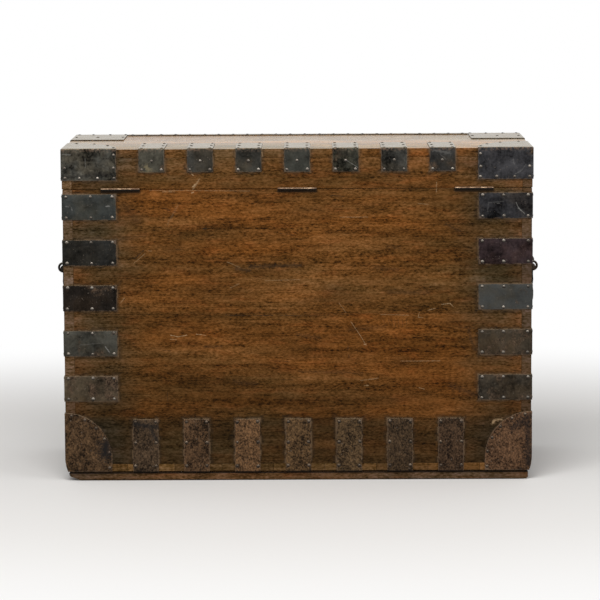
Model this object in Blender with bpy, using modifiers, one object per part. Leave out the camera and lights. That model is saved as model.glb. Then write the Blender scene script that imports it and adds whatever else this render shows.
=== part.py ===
"""Iron-bound oak trunk with a hinged lid, two drop handles and a chest lock.

Metres, +Z up. The origin is on the floor under the middle of the trunk. The hinged back faces -Y,
the lock front faces +Y and the two handled ends face -X and +X.
"""
import math

import bmesh
import bpy
from mathutils import Matrix, Vector

# Carcass boards
BODY_WIDTH = 0.951
BODY_DEPTH = 0.4162
WALL_HEIGHT = 0.5627
BOARD = 0.020
BOTTOM_BOARD = 0.0155
BACK_JOINT = 0.3085
FIT = 0.0003

# Bottom boards, whose ends show under the back board
BOTTOM_JOINT = 0.2225

# Runners under the trunk
RUNNER_HEIGHT = 0.0170
RUNNER_DEPTH = 0.044
RUNNER_END_INSET = 0.006
RUNNER_SIDE_INSET = 0.003
RUNNER_ROUND = 0.004
RUNNER_ROUND_SEGMENTS = 2

# Lid boards
LID_HEIGHT = 0.0808
TOP_BOARD = 0.018
LID_OVER = 0.001
SEAM = 0.0008

# Irons cut from hoop
IRON = 0.0016
NAIL_RADIUS = 0.0029
NAIL_HEIGHT = 0.0012
NAIL_SINK = 0.0005
NAIL_SIDES = 4
NAIL_INSET = 0.005

# Straps that bind each end and turn on to the back and the front
END_STRAP_COUNT = 5
END_STRAP_WIDTH = 0.0525
END_STRAP_LEG = 0.1085
END_STRAP_BELOW_RIM = 0.0353
END_STRAP_ABOVE_CORNER = 0.0495
END_STRAP_NAIL_INSETS = (0.0095, 0.059, 0.1025)

# Straps that run up the back, under the bottom and up the front
BASE_STRAP_COUNT = 7
BASE_STRAP_WIDTH = 0.052
BASE_STRAP_LEG = 0.1085
BASE_STRAP_FROM_CORNER = 0.069
BASE_STRAP_NAIL_SPACING = 0.042
BASE_STRAP_NAIL_DROPS = (0.0058, 0.0483, 0.0970)

# Quarter-round irons on the bottom corners
BASE_CORNER_RADIUS = 0.0965
BASE_CORNER_FOOT = 0.0255
BASE_CORNER_NAILS = 5
BASE_CORNER_STEPS = 16
BASE_CORNER_TURNS = 64

# Brackets that tie the top board to the back rail of the lid
BRACKET_COUNT = 7
BRACKET_WIDTH = 0.0525
BRACKET_LEG = 0.047
BRACKET_TOP_LEG = 0.145
BRACKET_FROM_CORNER = 0.0715
BRACKET_LOW_NAIL_SPACING = 0.0405
BRACKET_MIDDLE_NAIL_DROP = 0.0255
BRACKET_TOP_NAIL_SPACING = 0.041
BRACKET_TOP_NAIL_INSETS = (0.006, 0.072, 0.1375)

# Three-way irons on the corners of the lid
LID_CORNER_WIDTH = 0.1125
LID_CORNER_DEPTH = 0.163
LID_CORNER_DROP = 0.065
LID_CORNER_FACE_NAIL_INSETS = (0.0085, 0.038, 0.0745)
LID_CORNER_NAIL_DROPS = (0.0135, 0.0395)
LID_CORNER_SIDE_NAIL_SHARES = (0.06, 0.36, 0.66)
LID_CORNER_ARC_NAILS = 4
LID_CORNER_ROUND_SIDES = 64

# Edging strip along the front edge of the top
EDGING_LEG = 0.022
EDGING_NAIL_PITCH = 0.030
EDGING_END_GAP = 0.001

# Butt hinges in the back seam
HINGE_LENGTH = 0.078
HINGE_FROM_END = 0.1175
HINGE_LEAF_WIDTH = 0.017
HINGE_LEAF = 0.0018
HINGE_STANDOFF = 0.0034
KNUCKLE_RADIUS = 0.0030
KNUCKLE_GAP = 0.0004
PIN_RADIUS = 0.0012
PIN_PLAY = 0.0003
HINGE_SIDES = 16

# Drop handles
HANDLE_PLATE_LENGTH = 0.140
HANDLE_PLATE_HEIGHT = 0.034
EYE_SPACING = 0.110
EYE_RADIUS = 0.0112
EYE_HOLE_RADIUS = 0.0063
EYE_THICKNESS = 0.008
EYE_BITE = 0.0006
EYE_SIDES = 16
BAIL_RADIUS = 0.0038
BAIL_GRIP_RADIUS = 0.0046
BAIL_DROP = 0.072
BAIL_ROUND = 0.020
BAIL_CLEARANCE = 0.0012
BAIL_STUB = 0.0045
BAIL_SEAT_PLAY = 0.0004
BAIL_SEAT_ANGLE = math.radians(225)
BAIL_ROUND_STEPS = 6

# Chest lock on the inside of the front, and its striker on the lid
LOCK_WIDTH = 0.080
LOCK_HEIGHT = 0.050
LOCK_THICKNESS = 0.012
LOCK_BELOW_RIM = 0.0006
TONGUE_LENGTH = 0.0155
TONGUE_THICKNESS = 0.003
TONGUE_WIDTH = 0.008
TONGUE_EYE_LAND = 0.0016
TONGUE_PLAY = 0.0008
STRIKER_WIDTH = 0.050
STRIKER_HEIGHT = 0.028
STRIKER_PLATE = 0.002
BOLT_LENGTH = 0.026
BOLT_THICKNESS = 0.0034
BOLT_HEIGHT = 0.0046
BOLT_TRAVEL = 0.009
BOLT_REST_GAP = 0.0012
KEYHOLE_WIDTH = 0.006
KEYHOLE_HEIGHT = 0.015
KEYHOLE_DROP = 0.028

# Reach of a cutter past the face it cuts
OVERRUN = 0.004

# Places worked out from the sizes
HALF_WIDTH = BODY_WIDTH / 2
HALF_DEPTH = BODY_DEPTH / 2
LID_HALF_WIDTH = HALF_WIDTH + LID_OVER
LID_FRONT = HALF_DEPTH + LID_OVER
BOTTOM_Z = RUNNER_HEIGHT + IRON + 2 * FIT
WALL_Z = BOTTOM_Z + BOTTOM_BOARD + FIT
RIM_Z = WALL_Z + WALL_HEIGHT
LID_Z = RIM_Z + SEAM
LID_TOP = LID_Z + LID_HEIGHT
TOP_BOARD_Z = LID_TOP - TOP_BOARD
AXIS_Y = -HALF_DEPTH - HINGE_STANDOFF
AXIS_Z = RIM_Z + SEAM / 2
BACK_INSIDE = -HALF_DEPTH + BOARD
FRONT_INSIDE = HALF_DEPTH - BOARD
IRON_OUT = FIT + IRON
BASE_CORNER_HEIGHT = BASE_CORNER_FOOT + BASE_CORNER_RADIUS

# Colours: red, green, blue, roughness, metallic
FINISHES = {
    "oak": (0.22, 0.105, 0.042, 0.62, 0.0),
    "oak_end_grain": (0.20, 0.125, 0.065, 0.75, 0.0),
    "dark_iron": (0.055, 0.060, 0.062, 0.55, 0.85),
    "rusty_iron": (0.085, 0.062, 0.048, 0.70, 0.75),
    "worn_steel": (0.20, 0.16, 0.13, 0.50, 0.90),
    "brass": (0.42, 0.31, 0.15, 0.45, 1.0),
}


def clear_scene():
    for thing in list(bpy.data.objects):
        bpy.data.objects.remove(thing, do_unlink=True)


def new_collection(name):
    group = bpy.data.collections.new(name)
    bpy.context.scene.collection.children.link(group)
    return group


clear_scene()
PARTS = new_collection("metal_bound_trunk")
CUTTERS = new_collection("cutters")


def finish(name):
    """Material of one finish, made once."""
    found = bpy.data.materials.get(name)
    if found:
        return found
    red, green, blue, roughness, metallic = FINISHES[name]
    made = bpy.data.materials.new(name)
    made.use_nodes = True
    shader = made.node_tree.nodes["Principled BSDF"]
    shader.inputs["Base Color"].default_value = (red, green, blue, 1)
    shader.inputs["Roughness"].default_value = roughness
    shader.inputs["Metallic"].default_value = metallic
    return made


def place(name, data, material):
    """A part, linked to the trunk's collection."""
    part = bpy.data.objects.new(name, data)
    part.data.materials.append(finish(material))
    PARTS.objects.link(part)
    return part


def cutter(name, data):
    """A helper shape that a Boolean reads."""
    shape = bpy.data.objects.new(name, data)
    shape.hide_render = True
    shape.display_type = "WIRE"
    CUTTERS.objects.link(shape)
    return shape


def mesh_of(name, form):
    mesh = bpy.data.meshes.new(name)
    form.to_mesh(mesh)
    form.free()
    return mesh


def add_cube(form, low, high):
    """A cube drawn out from one corner to the other. Returns its vertices."""
    low, high = Vector(low), Vector(high)
    made = bmesh.ops.create_cube(form, size=1)["verts"]
    bmesh.ops.scale(form, vec=high - low, verts=made)
    bmesh.ops.translate(form, vec=(low + high) / 2, verts=made)
    return made


def box_mesh(name, low, high):
    form = bmesh.new()
    add_cube(form, low, high)
    return mesh_of(name, form)


def box(name, low, high, material):
    return place(name, box_mesh(name, low, high), material)


def add_cylinder(form, centre, direction, radius, length, sides):
    """A closed cylinder about a centre, along a direction."""
    turn = Vector(direction).to_track_quat("Z", "Y").to_matrix().to_4x4()
    where = Matrix.Translation(centre) @ turn
    bmesh.ops.create_cone(
        form, cap_ends=True, segments=sides, radius1=radius, radius2=radius, depth=length, matrix=where
    )


def cylinder_mesh(name, centre, direction, radius, length, sides):
    form = bmesh.new()
    add_cylinder(form, centre, direction, radius, length, sides)
    return mesh_of(name, form)


def boolean(part, shape, operation):
    step = part.modifiers.new(operation.lower(), "BOOLEAN")
    step.operation = operation
    step.object = shape


def join_shape(part, name, mesh):
    boolean(part, cutter(f"{part.name}_{name}", mesh), "UNION")


def cut_shape(part, name, mesh):
    boolean(part, cutter(f"{part.name}_{name}", mesh), "DIFFERENCE")


def shell(name, low, high, sides, material):
    """Sheet iron bent over the given sides of a block, standing outside it."""
    form = bmesh.new()
    add_cube(form, low, high)
    form.normal_update()
    spare = [face for face in form.faces if tuple(round(value) for value in face.normal) not in sides]
    bmesh.ops.delete(form, geom=spare, context="FACES")
    part = place(name, mesh_of(name, form), material)
    thicken = part.modifiers.new("thickness", "SOLIDIFY")
    thicken.thickness = IRON
    thicken.offset = 1
    thicken.use_even_offset = True
    thicken.use_quality_normals = True
    return part


def add_nails(form, places):
    """Rose-headed nails. Each place is a point on the iron's outer face and the way it faces."""
    height = NAIL_HEIGHT + NAIL_SINK
    quarter = Matrix.Rotation(math.radians(45), 4, "Z")
    for point, normal in places:
        facing = Vector(normal)
        turn = facing.to_track_quat("Z", "Y").to_matrix().to_4x4()
        centre = Vector(point) + facing * (NAIL_HEIGHT - NAIL_SINK) / 2
        bmesh.ops.create_cone(
            form, cap_ends=True, segments=NAIL_SIDES, radius1=NAIL_RADIUS, radius2=0, depth=height,
            matrix=Matrix.Translation(centre) @ turn @ quarter,
        )


def nail_on(part, places):
    form = bmesh.new()
    add_nails(form, places)
    join_shape(part, "nails", mesh_of(f"{part.name}_nails", form))


def evenly(first, last, count):
    """Places from first to last with equal steps."""
    if count < 2:
        return [(first + last) / 2]
    return [first + (last - first) * index / (count - 1) for index in range(count)]


def box_between(sign, inner, outer):
    """A span on the side of the middle that sign names, low value first."""
    return (inner, outer) if sign > 0 else (-outer, -inner)


# Heights of the end straps, top one first
END_STRAP_HEIGHTS = evenly(
    RIM_Z - END_STRAP_BELOW_RIM,
    BOTTOM_Z + BASE_CORNER_HEIGHT + END_STRAP_ABOVE_CORNER,
    END_STRAP_COUNT,
)
HANDLE_Z = (END_STRAP_HEIGHTS[1] + END_STRAP_HEIGHTS[2]) / 2
HINGE_PLACES = evenly(-HALF_WIDTH + HINGE_FROM_END, HALF_WIDTH - HINGE_FROM_END, 3)
SIDES = (("left", -1), ("right", 1))
FACES = (("back", -1), ("front", 1))


def carcass_boards():
    """Two ends at full depth, a two-board back and a front between them, and bottom boards below."""
    for side, sign in SIDES:
        low_x, high_x = box_between(sign, HALF_WIDTH - BOARD, HALF_WIDTH)
        box(f"end_{side}", (low_x, -HALF_DEPTH, WALL_Z), (high_x, HALF_DEPTH, RIM_Z), "oak")
    inside = HALF_WIDTH - BOARD - FIT
    joint = WALL_Z + BACK_JOINT
    box("back_lower", (-inside, -HALF_DEPTH, WALL_Z), (inside, BACK_INSIDE, joint), "oak")
    upper = box("back_upper", (-inside, -HALF_DEPTH, joint + FIT), (inside, BACK_INSIDE, RIM_Z), "oak")
    hinge_mortises(upper, RIM_Z, -1)
    front = box("front", (-inside, FRONT_INSIDE, WALL_Z), (inside, HALF_DEPTH, RIM_Z), "oak")
    key_z = RIM_Z - KEYHOLE_DROP
    low = (-KEYHOLE_WIDTH / 2, FRONT_INSIDE - OVERRUN, key_z - KEYHOLE_HEIGHT / 2)
    high = (KEYHOLE_WIDTH / 2, HALF_DEPTH + OVERRUN, key_z + KEYHOLE_HEIGHT / 2)
    cut_shape(front, "keyhole", box_mesh("front_keyhole", low, high))
    split = -HALF_WIDTH + BOTTOM_JOINT
    top = BOTTOM_Z + BOTTOM_BOARD
    box("bottom_left", (-HALF_WIDTH, -HALF_DEPTH, BOTTOM_Z), (split, HALF_DEPTH, top), "oak_end_grain")
    box("bottom_right", (split + FIT, -HALF_DEPTH, BOTTOM_Z), (HALF_WIDTH, HALF_DEPTH, top), "oak_end_grain")


def runners():
    """Two bearers along the back and the front, with rounded lower ends."""
    reach = HALF_WIDTH - RUNNER_END_INSET
    for face, sign in FACES:
        outer = HALF_DEPTH - RUNNER_SIDE_INSET
        low_y, high_y = box_between(sign, outer - RUNNER_DEPTH, outer)
        form = bmesh.new()
        add_cube(form, (-reach, low_y, 0), (reach, high_y, RUNNER_HEIGHT))
        middle = RUNNER_HEIGHT / 2
        ends = [
            edge for edge in form.edges
            if all(vert.co.z < middle for vert in edge.verts) and edge.verts[0].co.x == edge.verts[1].co.x
        ]
        bmesh.ops.bevel(
            form, geom=ends, offset=RUNNER_ROUND, segments=RUNNER_ROUND_SEGMENTS, profile=0.5,
            affect="EDGES", material=-1,
        )
        place(f"runner_{face}", mesh_of(f"runner_{face}", form), "oak")


def lid_boards():
    """Four rails under one overlaid top board."""
    rail_top = TOP_BOARD_Z - FIT
    front_inside = LID_FRONT - BOARD
    for side, sign in SIDES:
        low_x, high_x = box_between(sign, LID_HALF_WIDTH - BOARD, LID_HALF_WIDTH)
        box(f"lid_rail_{side}", (low_x, -HALF_DEPTH, LID_Z), (high_x, LID_FRONT, rail_top), "oak")
    inside = LID_HALF_WIDTH - BOARD - FIT
    back = box("lid_rail_back", (-inside, -HALF_DEPTH, LID_Z), (inside, BACK_INSIDE, rail_top), "oak")
    hinge_mortises(back, LID_Z, 1)
    box("lid_rail_front", (-inside, front_inside, LID_Z), (inside, LID_FRONT, rail_top), "oak")
    low = (-LID_HALF_WIDTH, -HALF_DEPTH, TOP_BOARD_Z)
    box("lid_top", low, (LID_HALF_WIDTH, LID_FRONT, LID_TOP), "oak")


def hinge_mortises(board, seam_z, way):
    """Shallow beds for the hinge leaves. way is -1 for the carcass and 1 for the lid."""
    depth = HINGE_LEAF + FIT
    for number, x in enumerate(HINGE_PLACES, 1):
        reach = HINGE_LENGTH / 2 + FIT
        z_span = sorted((seam_z - way * OVERRUN, seam_z + way * depth))
        low = (x - reach, -HALF_DEPTH - OVERRUN, z_span[0])
        high = (x + reach, -HALF_DEPTH + HINGE_LEAF_WIDTH + FIT, z_span[1])
        cut_shape(board, f"mortise_{number}", box_mesh(f"{board.name}_mortise_{number}", low, high))


def spool_mesh(name, x):
    """The two outer knuckles and the pin between them, turned as one piece along X."""
    third = HINGE_LENGTH / 6
    half = HINGE_LENGTH / 2
    profile = [
        (0, half), (KNUCKLE_RADIUS, half), (KNUCKLE_RADIUS, third), (PIN_RADIUS, third),
        (PIN_RADIUS, -third), (KNUCKLE_RADIUS, -third), (KNUCKLE_RADIUS, -half), (0, -half),
    ]
    form = bmesh.new()
    verts = [form.verts.new((radius, 0, along)) for radius, along in profile]
    edges = [form.edges.new(pair) for pair in zip(verts, verts[1:])]
    bmesh.ops.spin(
        form, geom=verts + edges, cent=(0, 0, 0), axis=(0, 0, 1), angle=math.tau, steps=HINGE_SIDES,
        use_merge=True, use_duplicate=False,
    )
    bmesh.ops.remove_doubles(form, verts=form.verts, dist=FIT / 100)
    bmesh.ops.recalc_face_normals(form, faces=form.faces)
    where = Matrix.Translation((x, AXIS_Y, AXIS_Z)) @ Matrix.Rotation(math.pi / 2, 4, "Y")
    bmesh.ops.transform(form, matrix=where, verts=form.verts)
    return mesh_of(name, form)


def hinges():
    """Butt hinges: a base leaf with its knuckles and pin, and a lid leaf with the middle knuckle."""
    neck_y = -HALF_DEPTH + HINGE_LEAF
    for number, x in enumerate(HINGE_PLACES, 1):
        half = HINGE_LENGTH / 2
        third = HINGE_LENGTH / 6
        base_z = RIM_Z - HINGE_LEAF
        low = (x - half, -HALF_DEPTH, base_z)
        high = (x + half, -HALF_DEPTH + HINGE_LEAF_WIDTH, RIM_Z)
        base = box(f"hinge_{number}_base_leaf", low, high, "worn_steel")
        for side, near, far in (("left", -half, -third), ("right", third, half)):
            name = f"neck_{side}"
            neck = box_mesh(f"{base.name}_{name}", (x + near, AXIS_Y, base_z), (x + far, neck_y, RIM_Z))
            join_shape(base, name, neck)
        join_shape(base, "spool", spool_mesh(f"hinge_{number}_spool", x))
        lid_hinge_leaf(number, x, third, neck_y)


def lid_hinge_leaf(number, x, third, neck_y):
    """The moving leaf, with a bored middle knuckle."""
    half = HINGE_LENGTH / 2
    reach = third - KNUCKLE_GAP
    top = LID_Z + HINGE_LEAF
    name = f"hinge_{number}_lid_leaf"
    high = (x + half, -HALF_DEPTH + HINGE_LEAF_WIDTH, top)
    leaf = box(name, (x - half, -HALF_DEPTH, LID_Z), high, "worn_steel")
    join_shape(leaf, "neck", box_mesh(f"{name}_neck", (x - reach, AXIS_Y, LID_Z), (x + reach, neck_y, top)))
    centre = (x, AXIS_Y, AXIS_Z)
    knuckle = cylinder_mesh(f"{name}_knuckle", centre, (1, 0, 0), KNUCKLE_RADIUS, 2 * reach, HINGE_SIDES)
    join_shape(leaf, "knuckle", knuckle)
    bore = cylinder_mesh(
        f"{name}_bore", centre, (1, 0, 0), PIN_RADIUS + PIN_PLAY, 2 * reach + OVERRUN, HINGE_SIDES
    )
    cut_shape(leaf, "bore", bore)


def end_straps():
    """Straps round each end, with legs on the back and the front."""
    for side, sign in SIDES:
        low_x, high_x = box_between(sign, HALF_WIDTH + FIT - END_STRAP_LEG, HALF_WIDTH + FIT)
        for number, z in enumerate(END_STRAP_HEIGHTS, 1):
            half = END_STRAP_WIDTH / 2
            reach = HALF_DEPTH + FIT
            strap = shell(
                f"end_strap_{side}_{number}", (low_x, -reach, z - half), (high_x, reach, z + half),
                {(sign, 0, 0), (0, -1, 0), (0, 1, 0)}, "dark_iron",
            )
            nail_on(strap, end_strap_nails(sign, z))


def end_strap_nails(sign, z):
    """Two rows of nails on each leg, and two rows on the end."""
    places = []
    outer_x = HALF_WIDTH + IRON_OUT
    outer_y = HALF_DEPTH + IRON_OUT
    rows = (z - END_STRAP_WIDTH / 2 + NAIL_INSET, z + END_STRAP_WIDTH / 2 - NAIL_INSET)
    for row in rows:
        for way in (-1, 1):
            for inset in END_STRAP_NAIL_INSETS:
                places.append(((sign * (outer_x - inset), way * outer_y, row), (0, way, 0)))
            for inset in END_STRAP_NAIL_INSETS[:2]:
                places.append(((sign * outer_x, way * (outer_y - inset), row), (sign, 0, 0)))
    return places


def base_straps():
    """Straps up the back, under the bottom boards and up the front."""
    last = HALF_WIDTH + IRON_OUT - BASE_CORNER_RADIUS - BASE_STRAP_FROM_CORNER
    for number, x in enumerate(evenly(-last, last, BASE_STRAP_COUNT), 1):
        half = BASE_STRAP_WIDTH / 2
        reach = HALF_DEPTH + FIT
        foot = BOTTOM_Z - FIT
        strap = shell(
            f"base_strap_{number}", (x - half, -reach, foot), (x + half, reach, foot + BASE_STRAP_LEG),
            {(0, 0, -1), (0, -1, 0), (0, 1, 0)}, "rusty_iron",
        )
        places = []
        for _, way in FACES:
            for drop in BASE_STRAP_NAIL_DROPS:
                for shift in (-BASE_STRAP_NAIL_SPACING / 2, BASE_STRAP_NAIL_SPACING / 2):
                    point = (x + shift, way * (reach + IRON), foot + BASE_STRAP_LEG - drop)
                    places.append((point, (0, way, 0)))
        nail_on(strap, places)


def dome_mesh(name, sign, way):
    """A post with a half-ball top, turned about a bottom corner of the trunk."""
    steps = evenly(0, math.pi / 2, BASE_CORNER_STEPS + 1)
    centre_z = BOTTOM_Z + BASE_CORNER_FOOT
    form = bmesh.new()
    profile = [(0, BOTTOM_Z - OVERRUN), (BASE_CORNER_RADIUS, BOTTOM_Z - OVERRUN)]
    for angle in steps[:-1]:
        height = centre_z + BASE_CORNER_RADIUS * math.sin(angle)
        profile.append((BASE_CORNER_RADIUS * math.cos(angle), height))
    profile.append((0, centre_z + BASE_CORNER_RADIUS))
    verts = [form.verts.new((radius, 0, height)) for radius, height in profile]
    edges = [form.edges.new(pair) for pair in zip(verts, verts[1:])]
    bmesh.ops.spin(
        form, geom=verts + edges, cent=(0, 0, 0), axis=(0, 0, 1), angle=math.tau, steps=BASE_CORNER_TURNS,
        use_merge=True, use_duplicate=False,
    )
    bmesh.ops.remove_doubles(form, verts=form.verts, dist=FIT / 100)
    bmesh.ops.recalc_face_normals(form, faces=form.faces)
    corner = Matrix.Translation((sign * (HALF_WIDTH + IRON_OUT), way * (HALF_DEPTH + IRON_OUT), 0))
    half_step = Matrix.Rotation(math.pi / BASE_CORNER_TURNS, 4, "Z")
    bmesh.ops.transform(form, matrix=corner @ half_step, verts=form.verts)
    return mesh_of(name, form)


def base_corners():
    """Irons round the bottom corners, with a quarter-round top on each leg."""
    for side, sign in SIDES:
        for face, way in FACES:
            name = f"base_corner_{face}_{side}"
            low_x, high_x = box_between(sign, HALF_WIDTH + FIT - BASE_CORNER_RADIUS, HALF_WIDTH + FIT)
            low_y, high_y = box_between(way, HALF_DEPTH + FIT - BASE_CORNER_RADIUS, HALF_DEPTH + FIT)
            plate = shell(
                name, (low_x, low_y, BOTTOM_Z), (high_x, high_y, BOTTOM_Z + BASE_CORNER_HEIGHT - FIT),
                {(sign, 0, 0), (0, way, 0)}, "rusty_iron",
            )
            boolean(plate, cutter(f"{name}_round", dome_mesh(f"{name}_round", sign, way)), "INTERSECT")
            nail_on(plate, base_corner_nails(sign, way))


def base_corner_nails(sign, way):
    """Nails just inside the rounded edge of both legs."""
    radius = BASE_CORNER_RADIUS - NAIL_INSET
    centre_z = BOTTOM_Z + BASE_CORNER_FOOT
    step = math.pi / 2 / BASE_CORNER_NAILS
    insets = [(radius, BOTTOM_Z + NAIL_INSET + NAIL_RADIUS)]
    for index in range(BASE_CORNER_NAILS):
        angle = (index + 1 / 2) * step
        insets.append((radius * math.cos(angle), centre_z + radius * math.sin(angle)))
    outer_x = HALF_WIDTH + IRON_OUT
    outer_y = HALF_DEPTH + IRON_OUT
    places = []
    for inset, z in insets:
        places.append(((sign * (outer_x - inset), way * outer_y, z), (0, way, 0)))
        places.append(((sign * outer_x, way * (outer_y - inset), z), (sign, 0, 0)))
    return places


def lid_brackets():
    """Angle brackets from the top board down on to the back rail."""
    last = LID_HALF_WIDTH + IRON_OUT - LID_CORNER_WIDTH - BRACKET_FROM_CORNER
    back = -HALF_DEPTH - FIT
    top = LID_TOP + FIT
    for number, x in enumerate(evenly(-last, last, BRACKET_COUNT), 1):
        half = BRACKET_WIDTH / 2
        low = (x - half, back, top - BRACKET_LEG)
        high = (x + half, back + BRACKET_TOP_LEG, top)
        bracket = shell(f"lid_bracket_{number}", low, high, {(0, -1, 0), (0, 0, 1)}, "dark_iron")
        face_y = back - IRON
        face_z = top + IRON
        places = [((x, face_y, face_z - BRACKET_MIDDLE_NAIL_DROP), (0, -1, 0))]
        for shift in (-BRACKET_LOW_NAIL_SPACING / 2, BRACKET_LOW_NAIL_SPACING / 2):
            places.append(((x + shift, face_y, top - BRACKET_LEG + NAIL_INSET), (0, -1, 0)))
        for inset in BRACKET_TOP_NAIL_INSETS:
            for shift in (-BRACKET_TOP_NAIL_SPACING / 2, BRACKET_TOP_NAIL_SPACING / 2):
                places.append(((x + shift, face_y + inset, face_z), (0, 0, 1)))
        nail_on(bracket, places)


def lid_corners():
    """Three-way corner irons. The back pair has a rounded top leg, the front pair a square one."""
    for side, sign in SIDES:
        for face, way in FACES:
            name = f"lid_corner_{face}_{side}"
            wall_y = HALF_DEPTH if way < 0 else LID_FRONT
            inner_x = LID_HALF_WIDTH + IRON_OUT - LID_CORNER_WIDTH
            low_x, high_x = box_between(sign, inner_x, LID_HALF_WIDTH + FIT)
            low_y, high_y = box_between(way, wall_y + IRON_OUT - LID_CORNER_DEPTH, wall_y + FIT)
            top = LID_TOP + FIT
            plate = shell(
                name, (low_x, low_y, top + IRON - LID_CORNER_DROP), (high_x, high_y, top),
                {(sign, 0, 0), (0, way, 0), (0, 0, 1)}, "dark_iron",
            )
            if way < 0:
                round_top_leg(plate, sign)
            nail_on(plate, lid_corner_nails(sign, way, wall_y + IRON_OUT))


def round_top_leg(plate, sign):
    """Trims the top leg of a back corner iron to a quarter of an ellipse."""
    form = bmesh.new()
    height = 2 * (LID_HEIGHT + OVERRUN)
    half_step = Matrix.Rotation(math.pi / LID_CORNER_ROUND_SIDES, 4, "Z")
    bmesh.ops.create_cone(
        form, cap_ends=True, segments=LID_CORNER_ROUND_SIDES, radius1=1, radius2=1, depth=height,
        matrix=half_step,
    )
    bmesh.ops.scale(form, vec=(LID_CORNER_WIDTH, LID_CORNER_DEPTH, 1), verts=form.verts)
    corner = (sign * (LID_HALF_WIDTH + IRON_OUT), -HALF_DEPTH - IRON_OUT, LID_TOP)
    bmesh.ops.translate(form, vec=corner, verts=form.verts)
    name = f"{plate.name}_round"
    boolean(plate, cutter(name, mesh_of(name, form)), "INTERSECT")


def lid_corner_nails(sign, way, outer_y):
    """Nails of one corner iron: those of the face, the end and the top leg."""
    outer_x = LID_HALF_WIDTH + IRON_OUT
    top = LID_TOP + IRON_OUT
    foot = top - LID_CORNER_DROP + NAIL_INSET
    inner = LID_CORNER_WIDTH - NAIL_INSET
    places = []

    def on_face(inset, z):
        places.append(((sign * (outer_x - inset), way * outer_y, z), (0, way, 0)))

    def on_end(inset, z):
        places.append(((sign * outer_x, way * (outer_y - inset), z), (sign, 0, 0)))

    def on_top(inset_x, inset_y):
        places.append(((sign * (outer_x - inset_x), way * (outer_y - inset_y), top), (0, 0, 1)))

    for inset in (*LID_CORNER_FACE_NAIL_INSETS, inner):
        on_face(inset, foot)
    for drop in LID_CORNER_NAIL_DROPS:
        on_face(inner, top - drop)
    on_face(LID_CORNER_FACE_NAIL_INSETS[0], top - LID_CORNER_NAIL_DROPS[1])
    reach = LID_CORNER_DEPTH - NAIL_INSET
    for share in LID_CORNER_SIDE_NAIL_SHARES:
        on_end(reach * share, foot)
    on_end(reach - NAIL_INSET, foot)
    on_end(reach - NAIL_INSET, top - LID_CORNER_NAIL_DROPS[1])
    if way < 0:
        step = math.pi / 2 / LID_CORNER_ARC_NAILS
        for index in range(LID_CORNER_ARC_NAILS):
            angle = (index + 1 / 2) * step
            on_top(inner * math.cos(angle), reach * math.sin(angle))
        return places
    for inset in (*LID_CORNER_FACE_NAIL_INSETS, inner):
        on_top(inset, reach)
    for share in LID_CORNER_SIDE_NAIL_SHARES:
        on_top(inner, reach * share)
    return places


def front_edging():
    """The strip over the front top edge, between the corner irons."""
    reach = LID_HALF_WIDTH + IRON_OUT - LID_CORNER_WIDTH - EDGING_END_GAP
    front = LID_FRONT + FIT
    top = LID_TOP + FIT
    strip = shell(
        "lid_edging", (-reach, front - EDGING_LEG, top - EDGING_LEG), (reach, front, top),
        {(0, 1, 0), (0, 0, 1)}, "dark_iron",
    )
    count = int(2 * (reach - NAIL_INSET) / EDGING_NAIL_PITCH) + 1
    places = []
    for x in evenly(-reach + 2 * NAIL_INSET, reach - 2 * NAIL_INSET, count):
        places.append(((x, front + IRON, top - EDGING_LEG / 2), (0, 1, 0)))
        places.append(((x, front - EDGING_LEG / 2, top + IRON), (0, 0, 1)))
    nail_on(strip, places)


def eye_centre_x(sign):
    return sign * (HALF_WIDTH + IRON_OUT + EYE_RADIUS - EYE_BITE)


def pivot_place(sign):
    """Centre of the bail's ends, which lie low and inward in the eyes."""
    slack = EYE_HOLE_RADIUS * math.cos(math.pi / EYE_SIDES) - BAIL_RADIUS - BAIL_SEAT_PLAY
    inward = slack * math.cos(BAIL_SEAT_ANGLE)
    down = slack * math.sin(BAIL_SEAT_ANGLE)
    return (eye_centre_x(sign) + sign * inward, 0, HANDLE_Z + down)


def handle_plates():
    """A plate with two forged eyes on each end."""
    for side, sign in SIDES:
        half_length = HANDLE_PLATE_LENGTH / 2
        half_height = HANDLE_PLATE_HEIGHT / 2
        low_x, high_x = box_between(sign, HALF_WIDTH + FIT, HALF_WIDTH + IRON_OUT)
        plate = box(
            f"handle_plate_{side}", (low_x, -half_length, HANDLE_Z - half_height),
            (high_x, half_length, HANDLE_Z + half_height), "dark_iron",
        )
        fittings = bmesh.new()
        places = []
        for _, way in FACES:
            centre = (eye_centre_x(sign), way * EYE_SPACING / 2, HANDLE_Z)
            add_cylinder(fittings, centre, (0, 1, 0), EYE_RADIUS, EYE_THICKNESS, EYE_SIDES)
            for rise in (-1, 1):
                y = way * (half_length - NAIL_INSET)
                point = (sign * (HALF_WIDTH + IRON_OUT), y, HANDLE_Z + rise * (half_height - NAIL_INSET))
                places.append((point, (sign, 0, 0)))
        add_nails(fittings, places)
        join_shape(plate, "eyes_and_nails", mesh_of(f"{plate.name}_eyes_and_nails", fittings))
        hole = cylinder_mesh(
            f"{plate.name}_holes", (eye_centre_x(sign), 0, HANDLE_Z), (0, 1, 0), EYE_HOLE_RADIUS,
            EYE_SPACING + EYE_THICKNESS + OVERRUN, EYE_SIDES,
        )
        cut_shape(plate, "holes", hole)


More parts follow.
